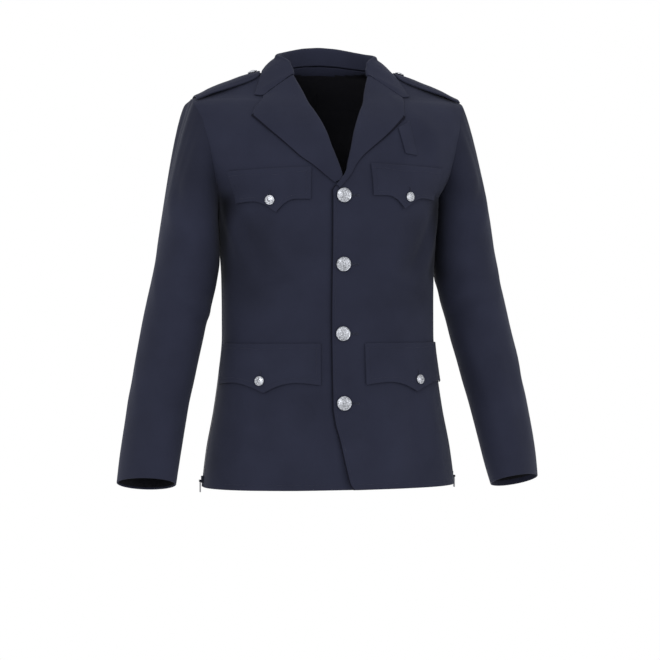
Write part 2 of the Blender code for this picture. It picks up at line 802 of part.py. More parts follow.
def strap_top(x):
    """Top of the strap's middle line, and the direction that it faces."""
    at = np.array([x - 4, x, x + 4])
    rise = np.interp(at, column(STRAP, STRAP_COLUMNS, "x"), column(STRAP, STRAP_COLUMNS, "rise"))
    height = shoulder_height(at, np.zeros(3)) + 0.6 + rise
    slope = (height[2] - height[0]) / 8
    out = np.array([-slope, 0, 1]) / math.hypot(slope, 1)
    return np.array([x, 0, height[1]]) + out * STRAP_CLOTH, out


def make_button(name, place, out, size, steps):
    """A turned button standing on a place of the cloth, facing out."""
    scale = size / BIG_BUTTON
    profile = [(size / 2 * radius, 0, scale * (height - 0.6) + SEAM) for radius, height in BUTTON]
    mesh = bpy.data.meshes.new(name)
    edges = [(i, i + 1) for i in range(len(profile) - 1)]
    mesh.from_pydata([tuple(v * MM for v in p) for p in profile], edges, [])
    obj = bpy.data.objects.new(name, mesh)
    coat.objects.link(obj)
    turn = obj.modifiers.new("turn", "SCREW")
    turn.axis = "Z"
    turn.steps = steps
    turn.render_steps = steps
    turn.use_merge_vertices = True
    turn.merge_threshold = 0.00005
    turn.use_smooth_shade = True
    obj.location = Vector([float(v) * MM for v in place])
    obj.rotation_euler = Vector([float(v) for v in out]).to_track_quat("Z", "Y").to_euler()
    paint(obj, METAL_COLOUR, True)


def make_buttons():
    """Front, pocket and shoulder buttons."""
    for number, z in enumerate(FRONT_BUTTON_Z, 1):
        spot = on_front(1, np.array(0.0), np.array(z), 0.0)
        make_button(f"front_button_{number}", spot, body_normal(0, z), BIG_BUTTON, 16)
    for flap in flap_list():
        name = flap["name"].replace("flap", "button")
        z = np.array(float(flap["button_z"]))
        share = flap["button_share"]
        lift = 1.3 + FLAP_CLOTH
        spot = flap_place(flap, share, z, lift)
        across = flap_place(flap, share + 0.02, z, lift) - spot
        up = flap_place(flap, share, z + 3, lift) - spot
        out = np.cross(across, up) * flap["side"]
        out /= np.linalg.norm(out)
        make_button(name, spot + out * 0.35, out, SMALL_BUTTON, 12)
    place, out = strap_top(STRAP_BUTTON_X)
    for end, side in (("left", 1), ("right", -1)):
        flip = np.array([side, 1, 1])
        make_button(f"strap_button_{end}", place * flip, out * flip, SMALL_BUTTON, 12)


def box_faces():
    """Faces of a box whose points run x, then y, then z."""
    return [(0, 1, 3, 2), (4, 6, 7, 5), (0, 4, 5, 1), (2, 3, 7, 6), (0, 2, 6, 4), (1, 5, 7, 3)]


def make_box(name, x, y, z, colour, metal):
    """A box between pairs of coordinates."""
    points = [(a, b, c) for a in x for b in y for c in z]
    return link(name, points, box_faces(), colour, metal)


def make_rod(name, x, z, half_y, radius):
    """A round rod along Y."""
    mesh = bpy.data.meshes.new(name)
    shape = bmesh.new()
    bmesh.ops.create_cone(
        shape,
        cap_ends=True,
        segments=20,
        radius1=radius * MM,
        radius2=radius * MM,
        depth=2 * half_y * MM,
        matrix=Matrix.Translation((x * MM, 0, z * MM)) @ Matrix.Rotation(math.pi / 2, 4, "X"),
    )
    shape.to_mesh(mesh)
    shape.free()
    obj = bpy.data.objects.new(name, mesh)
    coat.objects.link(obj)
    paint(obj, METAL_COLOUR, True)
    return obj


def to_cutters(obj):
    """Moves an operand into the cutters' collection and hides it."""
    coat.objects.unlink(obj)
    cutters.objects.link(obj)
    obj.hide_render = True
    obj.display_type = "WIRE"


def combine(obj, other, how):
    """Joins or cuts an object with another by an exact Boolean."""
    step = obj.modifiers.new(other.name, "BOOLEAN")
    step.operation = how
    step.solver = "EXACT"
    step.object = other
    to_cutters(other)


def make_zips():
    """The zip let into each side vent, with its slider and hanging pull."""
    face_x = float(body_point(90, SLIDER_Z)[0])
    for end, side in (("left", 1), ("right", -1)):
        z = np.linspace(HEM_Z + 5, ZIP_TOP_Z - 0.5, 8)
        level = np.repeat(z[:, None], 3, axis=1)
        across = np.array([-ZIP_WIDTH / 2, 0, ZIP_WIDTH / 2])[None, :] * np.ones((8, 1))
        angle = angle_at_y(across, level)
        flip = np.array([side, 1, 1])
        outer = lifted(angle, level, np.full(level.shape, -0.2)) * flip
        inner = lifted(angle, level, np.full(level.shape, -1.8)) * flip
        zipper = wall(f"zip_{end}", outer, inner, colour=TAPE_COLOUR)
        for part, near, far, half_y, low, high in SLIDER_PARTS:
            x = sorted(side * (face_x + v) for v in (near, far))
            z_range = (SLIDER_Z + low, SLIDER_Z + high)
            piece = make_box(f"{part}_{end}", x, (-half_y, half_y), z_range, METAL_COLOUR, True)
            combine(zipper, piece, "UNION")
        near, far, inner_y, outer_y, low, high = EAR
        x = sorted(side * (face_x + v) for v in (near, far))
        z_range = (SLIDER_Z + low, SLIDER_Z + high)
        for ear, y in (("front", (-outer_y, -inner_y)), ("rear", (inner_y, outer_y))):
            piece = make_box(f"{ear}_ear_{end}", x, y, z_range, METAL_COLOUR, True)
            combine(zipper, piece, "UNION")
        hinge_x = side * (face_x + HINGE_OUT)
        hinge_z = SLIDER_Z - HINGE_DROP
        pin = make_rod(f"pin_{end}", hinge_x, hinge_z, inner_y + 0.5, PIN_RADIUS)
        combine(zipper, pin, "UNION")
        x = (hinge_x - PULL_THICKNESS / 2, hinge_x + PULL_THICKNESS / 2)
        y = (-PULL_WIDTH / 2, PULL_WIDTH / 2)
        z_range = (hinge_z - PULL_LENGTH, hinge_z - 2.6)
        pull = make_box(f"zip_pull_{end}", x, y, z_range, METAL_COLOUR, True)
        y = (SEAM - inner_y, inner_y - SEAM)
        neck = make_box(f"neck_{end}", x, y, (hinge_z - 3.2, hinge_z - 1), METAL_COLOUR, True)
        combine(pull, neck, "UNION")
        barrel = make_rod(f"barrel_{end}", hinge_x, hinge_z, inner_y - SEAM, BARREL_RADIUS)
        combine(pull, barrel, "UNION")
        hole = make_rod(f"hole_{end}", hinge_x, hinge_z, 4, PIN_RADIUS + 0.25)
        combine(pull, hole, "DIFFERENCE")


for old in list(bpy.data.objects):
    bpy.data.objects.remove(old, do_unlink=True)
coat = bpy.data.collections.new("dress_coat")
cutters = bpy.data.collections.new("cutters")
bpy.context.scene.collection.children.link(coat)
bpy.context.scene.collection.children.link(cutters)

make_fronts()
make_back()
make_sleeves()
make_lapels()
make_collar()
make_flaps()
make_badge_tab()
make_straps()
make_buttons()
make_zips()
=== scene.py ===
"""Looks of the dress coat: dense cloth shells on the forms of the CAD solids, sewing and metal.

Tables are in millimetres, the scene in metres: +Z up, front towards -Y, wearer's left towards +X.
"""

import math

import bmesh
import bpy
import numpy as np
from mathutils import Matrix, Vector


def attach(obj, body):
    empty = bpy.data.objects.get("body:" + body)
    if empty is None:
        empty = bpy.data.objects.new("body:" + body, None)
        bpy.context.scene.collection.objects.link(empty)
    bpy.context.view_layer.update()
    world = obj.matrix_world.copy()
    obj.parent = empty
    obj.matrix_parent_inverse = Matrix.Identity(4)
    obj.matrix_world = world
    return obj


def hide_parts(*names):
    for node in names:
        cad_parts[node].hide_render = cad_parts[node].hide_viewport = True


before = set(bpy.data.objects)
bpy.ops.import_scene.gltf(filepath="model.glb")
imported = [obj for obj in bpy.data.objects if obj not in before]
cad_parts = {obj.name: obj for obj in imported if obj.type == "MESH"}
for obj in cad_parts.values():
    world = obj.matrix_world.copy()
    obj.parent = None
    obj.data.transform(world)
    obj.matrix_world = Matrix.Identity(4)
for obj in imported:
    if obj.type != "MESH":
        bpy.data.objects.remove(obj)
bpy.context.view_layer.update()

MM = 0.001
SIDES = (("left", 1), ("right", -1))


def table(names, *rows):
    """The columns of a table by their names."""
    return dict(zip(names.split(), np.array(rows, float).T))


# Sizes in millimetres, and angles in degrees.
CLOTH = 2.0
COLLAR_CLOTH = 2.2
FLAP_CLOTH = 1.9
STRAP_CLOTH = 3.0
TAB_CLOTH = 1.4
SEAM = 0.4
HEM_Z = -660.0

ARMHOLE_Z = -126.0
ARMHOLE_HALF_HEIGHT = 79.0
ARMHOLE_FRONT = 60.0
ARMHOLE_BACK = 65.0
UNDERARM_Z = ARMHOLE_Z - ARMHOLE_HALF_HEIGHT
SHOULDER_TIP_Z = ARMHOLE_Z + ARMHOLE_HALF_HEIGHT
SHOULDER_Z = 1.5  # top of fronts and back
ARMHOLE_MIDDLE_X = 215.0

OVERLAP_LIFT = 1.5
OVERLAP_HALF = 23.0  # up to this far from the centre line the lift is whole
OVERLAP_FADE = 50.0  # and it fades over this much more
BREAK_Z = -184.0  # where the lapels start to turn out
CORNER_FROM_Z = -560.0  # the left front stands open below this
CORNER_LIFT = 4.5

ZIP_TOP_Z = -478.0
ZIP_PARTING = 8.2
SLIDER_Z = -648.0

BIG_BUTTON = 22.9
SMALL_BUTTON = 15.2
FRONT_BUTTON_Z = (-204.0, -310.0, -418.0, -526.0)

# Horizontal sections of the body, from the neck down. Fullness 2 is an ellipse, more is squarer.
SECTIONS = table(
    "z half_width front back fullness",
    (18, 69, 14, 59, 2.0),
    (3, 80, 22, 66, 2.0),
    (-2, 103, 30, 70, 1.85),
    (-7, 118, 35, 74, 1.75),
    (-12, 134, 39, 77, 1.7),
    (-20, 151, 45, 82, 1.65),
    (-31, 176, 53, 89, 1.65),
    (-42, 203, 61, 95, 1.68),
    (-47, 219, 65, 97, 1.72),
    (-53, 234, 69.5, 99, 1.9),
    (-60, 242, 75, 101, 2.0),
    (-70, 243, 83, 104, 2.1),
    (-80, 240, 91, 107, 2.15),
    (-102, 232, 104, 111, 2.3),
    (-126, 223, 113, 114, 2.3),
    (-150, 211, 121, 117, 2.3),
    (-172, 199, 126, 118, 2.3),
    (-190, 187, 129, 118, 2.3),
    (-205, 178, 130, 118, 2.3),
    (-235, 176, 129.5, 116, 2.3),
    (-270, 174, 128, 112, 2.3),
    (-330, 170.5, 122, 104, 2.3),
    (-380, 170, 118, 100, 2.3),
    (-420, 170, 117, 102, 2.3),
    (-480, 175.5, 120, 112, 2.3),
    (-540, 184, 124, 124, 2.3),
    (-600, 195.5, 127, 128, 2.3),
    (-664, 204, 128, 125, 2.3),
)

# Neck seam round the neck: the angle from the front, and its height.
NECK = table(
    "angle z",
    (62.3, -14),
    (66.6, -9.5),
    (71.8, -4.7),
    (77.2, -0.7),
    (83.4, 1.7),
    (90, 3),
    (110, 6),
    (135, 11),
    (160, 15),
    (180, 16),
)

# Inner edge of each front below the neck seam, in millimetres past the centre line on its own side.
EDGE_TOP = ((-14, 64), (-19, 61), (-38, 54.5), (-59, 48), (-98, 29), (-125, 21), (-155, 11))
LEFT_EDGE = table(
    "z x",
    *EDGE_TOP,
    (-183, 2.5),
    (-186, -6),
    (-190, -15),
    (-196, -19),
    (-536, -19),
    (-560, -15.5),
    (-581, -9.5),
    (-618, -2),
    (-645, 4),
    (-654, 7),
    (-660, 13),
)
RIGHT_EDGE = table(
    "z x",
    *EDGE_TOP,
    (-183, 4),
    (-190, -12),
    (-198, -19),
    (-560, -19),
    (-660, -17),
)

# Lapel rows from the break up to the gorge seam: x and z of the roll line and of the outer edge,
# and how far that edge lies further out on the left and the right lapel.
LAPEL = (
    (3.2, -182, 6.5, -184, 0, 0),
    (6, -171, 20, -174, -9.5, 7),
    (11, -155, 35, -158, -14.5, 11),
    (16, -140, 51, -144, -18.5, 15),
    (21, -125, 66, -130, -16.5, 15),
    (25, -110, 82, -115, -13, 15),
    (30, -96, 97, -101, -11, 15),
    (36, -82, 110, -89, -11, 15),
    (42, -70, 120, -80, -11, 15),
    (48, -59, 117, -66, -7.7, 10.5),
    (54, -40, 114, -55, -2.2, 3),
    (60, -24, 112.8, -49.5, 0, 0),
    (64, -14, 112, -46.5, 0, 0),
)
# The lowest row as it lies on each side, tucked behind the first button.
LAPEL_START = {1: (-9, -190.5, -6, -193, 0, 0), -1: (4.6, -180, 12.5, -184.5, 0, 1.5)}
NOTCH = (112.0, -46.2)
COLLAR_POINT = (125.5, -44.0)

# Cross-section of a lapel: along is millimetres past the edge that it is turned over, share is a
# share of its width, height is above the panel under it.
LAPEL_ROLL = table(
    "along share height",
    (-0.9, 0, -1.0),
    (-2.6, 0, -0.9),
    (-3.9, 0, 0.2),
    (-4.3, 0, 1.9),
    (-3.2, 0, 3.5),
    (-0.6, 0, 4.4),
    (2, 0.1, 4.6),
    (1, 0.3, 4.3),
    (0.5, 0.52, 3.7),
    (0, 0.77, 2.8),
    (0, 1, 1.5),
)

# Collar, from the gorge round to the middle of the back: the angle on the neck seam, the height of
# its fold over that seam, and its outer edge as an angle and a height on the body.
COLLAR = table(
    "angle fold edge_angle edge_z",
    (62.3, 3.9, 69.3, -45),
    (66.5, 8, 72.6, -36),
    (71.5, 13, 77.2, -21.3),
    (79, 18, 82.6, -8.2),
    (90, 22, 91, -2),
    (108, 24.5, 112, -1),
    (130, 26.5, 133, 0),
    (156, 28, 157, 1),
    (180, 28.5, 180, 1.5),
)

# Sleeve from the underarm down, for the left side.
SLEEVE = table(
    "z outer_x inner_x middle_y long_half turn",
    (-250, 267.2, 177.8, 1, 68, 90),
    (-274, 271.0, 176.4, 1, 65.5, 90),
    (-300, 274.8, 175.8, 0, 62.5, 90),
    (-333, 281.6, 180.2, 0, 59.5, 89),
    (-365, 289.2, 187.4, -1, 58.5, 88),
    (-397, 296.2, 196.6, -2, 58, 87),
    (-429, 302.6, 204.2, -4, 57, 86),
    (-461, 309.0, 212.4, -9, 56.5, 83),
    (-493, 314.6, 220.2, -13, 56, 79),
    (-525, 321.0, 228.6, -18, 56, 75),
    (-557, 326.0, 235.4, -24, 56, 70),
    (-589, 331.2, 241.8, -29, 56, 65),
    (-621, 336.0, 248.0, -33, 56, 60),
    (-656, 340.2, 254.8, -38, 56, 54),
)
CUFF_TILT_Y = -0.27
CUFF_TILT_X = 0.175
CUFF_TILT_FROM_Z = -429.0
RIGHT_CUFF_RISE = 5.5  # as worn, the right sleeve ends this much higher

# Pocket flaps: width along the cloth, drop of corners, arcs and point, the point's share of the
# width, slant of the top and the button's share of the width.
CHEST_FLAP = (130, 50, 49, 68.5, 0.425, 5, 0.495)
HIP_FLAP = (189, 65, 61, 77, 0.46, 0, 0.495)
FLAP_GAP = 0.85  # above the front along its top
FLAP_STAND = 0.6  # more along its lower edge
FLAP_SWELL = 1.1  # and more in the middle of that edge
FLAP_COLUMNS = (
    "name side inner_x top_z button_z width corner arc point point_share slant button_share"
)
FLAPS = [
    dict(zip(FLAP_COLUMNS.split(), row))
    for row in (
        ("chest_flap_left", 1, 46, -154, -205, *CHEST_FLAP),
        ("chest_flap_right", -1, 50.5, -160, -211, *CHEST_FLAP),
        ("hip_flap_left", 1, 35, -433, -491, *HIP_FLAP),
        ("hip_flap_right", -1, 35, -433, -491, *HIP_FLAP),
    )
]

# Shoulder strap on its shoulder: distance out, half width, rise above the cloth.
STRAP = table(
    "x half_width rise",
    (108.5, 8, 0.5),
    (111, 15, 0.5),
    (116, 19, 0.6),
    (126, 20.5, 1),
    (140, 21.5, 1.8),
    (156, 22.5, 3.2),
    (172, 23.5, 4.4),
    (188, 24.3, 4.4),
    (202, 25, 2.4),
    (213, 25, 0.9),
)
STRAP_BUTTON_X = 119.0

# The large button: the rise of its rim, of its dome over that, and its back. A ring of its face
# has a share of the radius, a width, a height in millimetres and a number of beads.
BUTTON_RIM = 2.5
BUTTON_DOME = 2.5
BUTTON_RINGS = (
    (0.93, 0.045, 0.55, 0),
    (0.84, 0.035, -0.25, 0),
    (0.76, 0.05, 0.3, 20),
    (0.62, 0.03, 0.3, 0),
)
BUTTON_BACK = table("radius height", (1, 1), (0.97, 0.6), (0.93, 0.3), (0.3, 0.2))
STAR_POINTS = 5

# Sewing: heights above the cloth, distances from edges, and sizes of stitches.
STITCH_LIFT = 0.12
STRAP_STITCH_LIFT = 0.1
HEM_STITCH = 8.5
EDGE_STITCH = 6.5
FLAP_STITCH = 7.5
FLAP_STITCH_END = 0.86  # the side rows end at this share of a flap's length
FLAP_STITCH_LOW = 0.88  # and the lower row lies at this one
STITCH_PITCH = 3.3
STITCH_LENGTH = 2.4
STITCH_RADIUS = 0.24
HOLE_PITCH = 0.62
HOLE_RADIUS = 0.3
FRONT_HOLE = (-1.5, 24.0)  # from and to across the front, round a front button
POCKET_HOLE = 15.5  # length above a pocket button

TOOTH_PITCH = 1.1
TOOTH_HALF = (0.35, 1.35, 0.42)
TOOTH_SHIFT = 0.75  # from the chain's middle, in turn to either side
SLIDER_ROOM = 6.5  # no teeth within this of the slider's middle

# Distances from a free edge of the close rows that round it.
CLOSE = np.array([0, 0.25, 0.6, 1.1, 1.9])

CUFF_HEM = 14.0  # a sleeve's lining starts this far above its edge
CUFF_MIDDLE = (298.0, -38.0)
LINING_FROM = 25.0  # the body's lining starts this far above the hem
FACING = 85.0  # and this far from the centre line
LAPEL_CORNER = 8  # the row of LAPEL at the lapel's corner
# Painted shadow: this many columns of an edge's outer faces take the darker edge wool.
EDGE_COLUMNS_DARK = 4  # columns of an edge's outer faces that lie in its shadow

# Shade painted into the cloth's colour in the fold between arm and body, at the waist and on
# the sleeve's head.
FOLD_TOP_Z = -188.0
FOLD_LOW_Z = -352.0
WAIST_SHADE = 0.26
HEAD_SHADE = 0.22
SHADE_COLOUR = (0.0004, 0.0005, 0.002)

# The woven look: the scales of its noises, and how much the yarn tints the cloth.
YARN_SCALE = 900.0
CLOUD_SCALE = 14.0
YARN_SHARE = 0.45

# The camera and the lights, in metres, degrees, millimetres of lens and watts. A light has a place,
# a point that it faces, a size and a power.
FLOOR_Z = -1.35
FLOOR_RADIUS = 2.4
CAMERA_YAW = 11.5
CAMERA_DISTANCE = 3.6
CAMERA_HEIGHT = -0.389
CAMERA_LENS = 122.7
CAMERA_SENSOR = 36.0
CAMERA_SHIFT = (0.0036, -0.0227)
CAMERA_ROLL = 0.3
WORLD_STRENGTH = 1.0
LIGHTS = (
    ("key", (-1.9, -3.4, 1.0), (0, 0, -0.35), (2.2, 2.2), 54.0),
    ("fill", (2.8, -3.0, 0.2), (0, 0, -0.4), (2.4, 2.4), 24.0),
    ("top", (0.2, -0.6, 2.4), (0, 0, -0.3), (2.0, 1.6), 4.0),
)


def unit(vectors):
    """Vectors shortened or stretched to a length of 1."""
    return vectors / np.linalg.norm(vectors, axis=-1, keepdims=True)


def lengths(grid, axis=0):
    """Length along a path, or one axis of a grid, up to each of its points."""
    steps = np.linalg.norm(np.diff(grid, axis=axis), axis=-1)
    return np.insert(np.cumsum(steps, axis=axis), 0, 0, axis=axis)


def curve(t, start, leave, end, arrive):
    """Places at shares t of a smooth curve between two points with a slope at each."""
    return (
        (1 + 2 * t) * (1 - t) ** 2 * start
        + t * (1 - t) ** 2 * leave
        + t**2 * (3 - 2 * t) * end
        + t**2 * (t - 1) * arrive
    )


def smooth_through(at, xs, ys):
    """Values at given places of a smooth curve through points, with no overshoot."""
    order = np.argsort(xs)
    xs, ys = xs[order], ys[order]
    step = np.diff(xs)
    slope = np.diff(ys) / step
    tangent = np.zeros(len(xs))
    tangent[0] = slope[0]
    tangent[-1] = slope[-1]
    for i in range(1, len(xs) - 1):
        if slope[i - 1] * slope[i] > 0:
            before = 2 * step[i] + step[i - 1]
            after = step[i] + 2 * step[i - 1]
            tangent[i] = (before + after) / (before / slope[i - 1] + after / slope[i])
    at = np.clip(np.asarray(at, float), xs[0], xs[-1])
    i = np.clip(np.searchsorted(xs, at, side="right") - 1, 0, len(xs) - 2)
    t = (at - xs[i]) / step[i]
    return curve(t, ys[i], step[i] * tangent[i], ys[i + 1], step[i] * tangent[i + 1])


def from_table(rows, key, name, at):
    """A column of a table at given values of its key column."""
    return smooth_through(at, rows[key], rows[name])


def columns(rows, at):
    """Every column of a table after its first, at given values of the first."""
    key, *names = rows
    return [from_table(rows, key, name, at) for name in names]


def ease(t):
    """0 to 1 with flat ends."""
    t = np.clip(t, 0, 1)
    return t * t * (3 - 2 * t)


def section(z):
    """Half width, front depth, back depth and fullness of the body at heights z."""
    return columns(SECTIONS, z)


def body_point(angle, z):
    """Points of the body's outside: angle in degrees from the front towards the wearer's left."""
    angle, z = np.broadcast_arrays(np.asarray(angle, float), np.asarray(z, float))
    half, front, back, power = section(z)
    sine = np.sin(np.radians(angle))
    cosine = np.cos(np.radians(angle))
    depth = np.where(cosine > 0, front, back)
    reach = ((np.abs(sine) / half) ** power + (np.abs(cosine) / depth) ** power) ** (-1 / power)
    return np.stack([reach * sine, -reach * cosine, z], axis=-1)


def body_normal(angle, z):
    """Unit vectors pointing out of the body's surface."""
    angle, z = np.asarray(angle), np.asarray(z)
    round_it = body_point(angle + 0.5, z) - body_point(angle - 0.5, z)
    up_it = body_point(angle, z + 1.5) - body_point(angle, z - 1.5)
    return unit(np.cross(round_it, up_it))


def lifted(angle, z, lift):
    """Points that far above the body's surface."""
    return body_point(angle, z) + body_normal(angle, z) * np.asarray(lift, float)[..., None]


def angle_at_x(x, z):
    """Angle of the front of the body at a distance from the centre line."""
    half, front, _, power = section(z)
    share = np.clip(np.abs(x) / half, 0, 0.9999)
    depth = front * (1 - share**power) ** (1 / power)
    return np.degrees(np.arctan2(x, depth))


def angle_at_y(y, z):
    """Angle of the wearer's left side of the body at a depth y."""
    half, front, back, power = section(z)
    depth = np.where(y < 0, front, back)
    share = np.clip(np.abs(y) / depth, 0, 0.9999)
    out = half * (1 - share**power) ** (1 / power)
    return np.degrees(np.arctan2(out, -y))


def clear_of_body(points, least):
    """Points moved out where needed until they are that far above the body's surface."""
    points = np.array(points, float)
    for _ in range(4):
        x, y, z = points[..., 0], points[..., 1], np.minimum(points[..., 2], 16)
        angle = np.degrees(np.arctan2(x, -y))
        gap = points - body_point(angle, z)
        normal = body_normal(angle, z)
        away = (gap * normal).sum(-1)
        short = np.where(points[..., 2] < 16, np.maximum(least - away, 0), 0)
        points += normal * short[..., None]
    return points


def shoulder_height(x, y):
    """Height of the shoulder's surface above a place in plan."""
    low = np.full(np.shape(x), -140.0)
    high = np.full(np.shape(x), 3.0)
    for _ in range(40):
        middle = (low + high) / 2
        half, front, back, power = section(middle)
        depth = np.where(y < 0, front, back)
        outside = (np.abs(x) / half) ** power + (np.abs(y) / depth) ** power > 1
        high = np.where(outside, middle, high)
        low = np.where(outside, low, middle)
    return (low + high) / 2


def front_lift(side, x, z):
    """How far a front lies above the body's surface, for the overlap and the open lower corner."""
    near = 1 - ease((np.abs(x) - OVERLAP_HALF) / OVERLAP_FADE)
    lift = (OVERLAP_LIFT if side > 0 else -OVERLAP_LIFT) * near
    if side > 0:
        low = ease((CORNER_FROM_Z - z) / 95)
        lift = lift + CORNER_LIFT * low * (1 - ease((x + 5) / 75))
    return lift


def flipped(points, side):
    """Points of the left side as they are, or mirrored to the right."""
    return points * np.array([side, 1, 1])


def on_front(side, x, z, lift):
    """Points above a front, x being millimetres past the centre line on that front's own side."""
    angle = angle_at_x(x, z)
    lift = lift + front_lift(side, x, z) + front_crease(side, angle, z)
    return flipped(lifted(angle, z, lift), side)


def side_parting(z):
    """Half of the gap at the side seam: a seam above, wider where the zip is let in."""
    zip_part = ease((ZIP_TOP_Z + 26 - z) / 26) if z < UNDERARM_Z else 0
    return SEAM / 2 + (ZIP_PARTING / 2 - SEAM / 2) * zip_part


def outer_angle(z, reach, sign):
    """Angle of a panel's side edge: the side seam, the armhole or the shoulder seam."""
    share = np.clip((z - ARMHOLE_Z) / ARMHOLE_HALF_HEIGHT, -1, 1)
    depth = max(reach * math.sqrt(1 - share * share), side_parting(z))
    return angle_at_y(sign * depth, z)


def grid_normals(grid, ring=False):
    """Unit normals of a grid of points, from its rows and columns."""
    along = np.gradient(grid, axis=0)
    if ring:
        across = (np.roll(grid, -1, axis=1) - np.roll(grid, 1, axis=1)) / 2
    else:
        across = np.gradient(grid, axis=1)
    return unit(np.cross(across, along))


def armhole_ring(turn):
    """Where the left sleeve's cloth starts round its armhole, and in which direction."""
    c = np.cos(np.radians(turn))
    s = np.sin(np.radians(turn))
    z = ARMHOLE_Z + ARMHOLE_HALF_HEIGHT * c
    y = np.where(s > 0, -ARMHOLE_FRONT * s, -ARMHOLE_BACK * s)
    angle = angle_at_y(y, z)
    edge = body_point(angle, z)
    out = body_normal(angle, z)
    tangent = np.roll(edge, -1, axis=0) - np.roll(edge, 1, axis=0)
    into = unit(np.cross(tangent, out))
    middle = np.array([ARMHOLE_MIDDLE_X, 0, ARMHOLE_Z])
    into *= np.sign((into * (middle - edge)).sum(-1))[:, None]
    low = ((1 - c) / 2)[:, None]
    start = edge - into * 0.5 + out * (-1.3 + 1.7 * low)
    top, bottom, side = ((1 + c) / 2) ** 2, ((1 - c) / 2) ** 2, (1 - c * c) / 2
    down = np.array([0, 0, -1.0])
    # The cloth leaves out and down at the armhole's sides, nearly straight down at the underarm.
    go = (
        (0.27 * top + 0.35 * side)[:, None] * into
        + (0.45 * side + 0.25 * bottom)[:, None] * out
        + (0.5 * top + 0.75 * side + bottom)[:, None] * down
    )
    return start, unit(go)


def cuff_share(z):
    """How far down the forearm a height is, from 0 at the elbow to 1 at the hem."""
    return ease((CUFF_TILT_FROM_Z - z) / (CUFF_TILT_FROM_Z - SLEEVE["z"][-1]))


def sleeve_ring(z, turn):
    """A ring of the left sleeve at a height of its middle."""
    outer, inner, middle_y, long_half, lean = columns(SLEEVE, z)
    half = (outer - inner) / 2
    lean = math.radians(lean)
    short_half = math.sqrt(half**2 - (long_half * math.cos(lean)) ** 2) / math.sin(lean)
    c = np.cos(np.radians(turn))
    s = np.sin(np.radians(turn))
    # The ring's points keep their direction from its middle, so that no row twists.
    reach = 1 / np.sqrt(
        ((c * math.cos(lean) - s * math.sin(lean)) / long_half) ** 2
        + ((-c * math.sin(lean) - s * math.cos(lean)) / short_half) ** 2
    )
    x = c * reach
    y = -s * reach
    tilt = cuff_share(z)
    height = z + tilt * (CUFF_TILT_Y * y + CUFF_TILT_X * x)
    return np.stack([(outer + inner) / 2 + x, middle_y + y, height], axis=-1)


def lapel_row(row, side):
    """Cross-section of a lapel at one row of its table."""
    roll_x, roll_z, edge_x, edge_z, left, right = row
    roll = np.array([roll_x, roll_z])
    edge = np.array([edge_x + (left if side > 0 else right), edge_z])
    width = np.linalg.norm(edge - roll)
    small = 0.42 + 0.58 * min(1, width / 30)
    share = LAPEL_ROLL["share"]
    along = LAPEL_ROLL["along"]
    along = np.where(share > 0, along * small, -0.9 + (along + 0.9) * small) + share * width
    height = LAPEL_ROLL["height"]
    height = np.where(height > 1.5, 1.5 + (height - 1.5) * small, height)
    x, z = roll[:, None] + (edge - roll)[:, None] / width * along
    return on_front(side, x, z, height)


def neck_seam(angle):
    """A point of the neck seam."""
    return body_point(angle, from_table(NECK, "angle", "z", angle))


def collar_half():
    """Rows of the left half of the collar, from the gorge to the middle of the back."""
    places = np.concatenate([[0], np.linspace(0.5, 8, 14)])
    index = np.arange(len(COLLAR["angle"]))
    values = [smooth_through(places, index, COLLAR[name]) for name in COLLAR]
    rows = []
    for angle, fold, edge_angle, edge_z in zip(*values):
        z = neck_seam(angle)[2]
        ahead = neck_seam(angle + 1)
        behind = neck_seam(angle - 1)
        out = body_normal(angle, z)
        flat_out = unit(out * np.array([1, 1, 0]))
        away = unit(np.cross(out, ahead - behind))
        away *= np.sign(away[2])
        stand = ease((angle - NECK["angle"][0]) / 30)
        rise = unit(away * (1 - stand) + (np.array([0, 0, 1]) - 0.06 * flat_out) * stand)
        out = out * (1 - stand) + flat_out * stand
        low = lifted(angle, z, -1) + away * SEAM * (1 + 3 * ease((118 - angle) / 20))
        turn = (
            (0, 0),
            (0.46 * fold, 0.1),
            (0.88 * fold, 0.5 + 0.6 * (1 - stand)),
            (fold, 2.4 + 0.4 * (1 - stand)),
            (fold - 1.2, 5.0),
            (fold - 3.8 - 1.8 * stand, 6.6 - 1.2 * (1 - stand)),
        )
        points = [low + rise * up + out * over for up, over in turn]
        edge = lifted(edge_angle, edge_z, 1.7)
        for share in (0.2, 0.42, 0.64, 0.84, 1):
            bulge = 4 * share * (1 - share) * (1.2 + 1.6 * stand)
            points.append(points[5] * (1 - share) + edge * share + out * bulge)
        rows.append(points)
    rows = np.array(rows)
    # The first row follows the gorge seam out to the notch and the collar's point.
    rows[0, :6] = lapel_row(LAPEL[-1], 1)[:6] + np.array([0.9, 0, 1.5])
    gorge = np.array(LAPEL[-1][:2])
    for i, share in ((6, 0.25), (7, 0.5), (8, 0.76), (9, 1)):
        x, z = gorge + (np.array(NOTCH) - gorge) * share
        rows[0, i] = on_front(1, x, z + 0.9, 4.6 - 2.6 * share)
    rows[0, 10] = on_front(1, *np.array(COLLAR_POINT), 1.9)
    rows[:, 6:] = clear_of_body(rows[:, 6:], 1.6)
    return rows


def flap_angles(flap):
    """Angles of a flap's columns on the body, evenly spaced along the cloth."""
    z = flap["top_z"] - flap["corner"] / 2
    fine = np.linspace(angle_at_x(flap["inner_x"], z), 92, 200)
    along = lengths(body_point(fine, z))
    return np.interp(np.linspace(0, flap["width"], 13), along, fine)


def strap_top(x):
    """Top of the strap's middle line, and the direction that it faces."""
    at = np.array([x - 4, x, x + 4])
    height = shoulder_height(at, 0) + 0.6 + np.interp(at, STRAP["x"], STRAP["rise"])
    slope = (height[2] - height[0]) / 8
    out = unit(np.array([-slope, 0, 1]))
    return np.array([x, 0, height[1]]) + out * STRAP_CLOTH, out


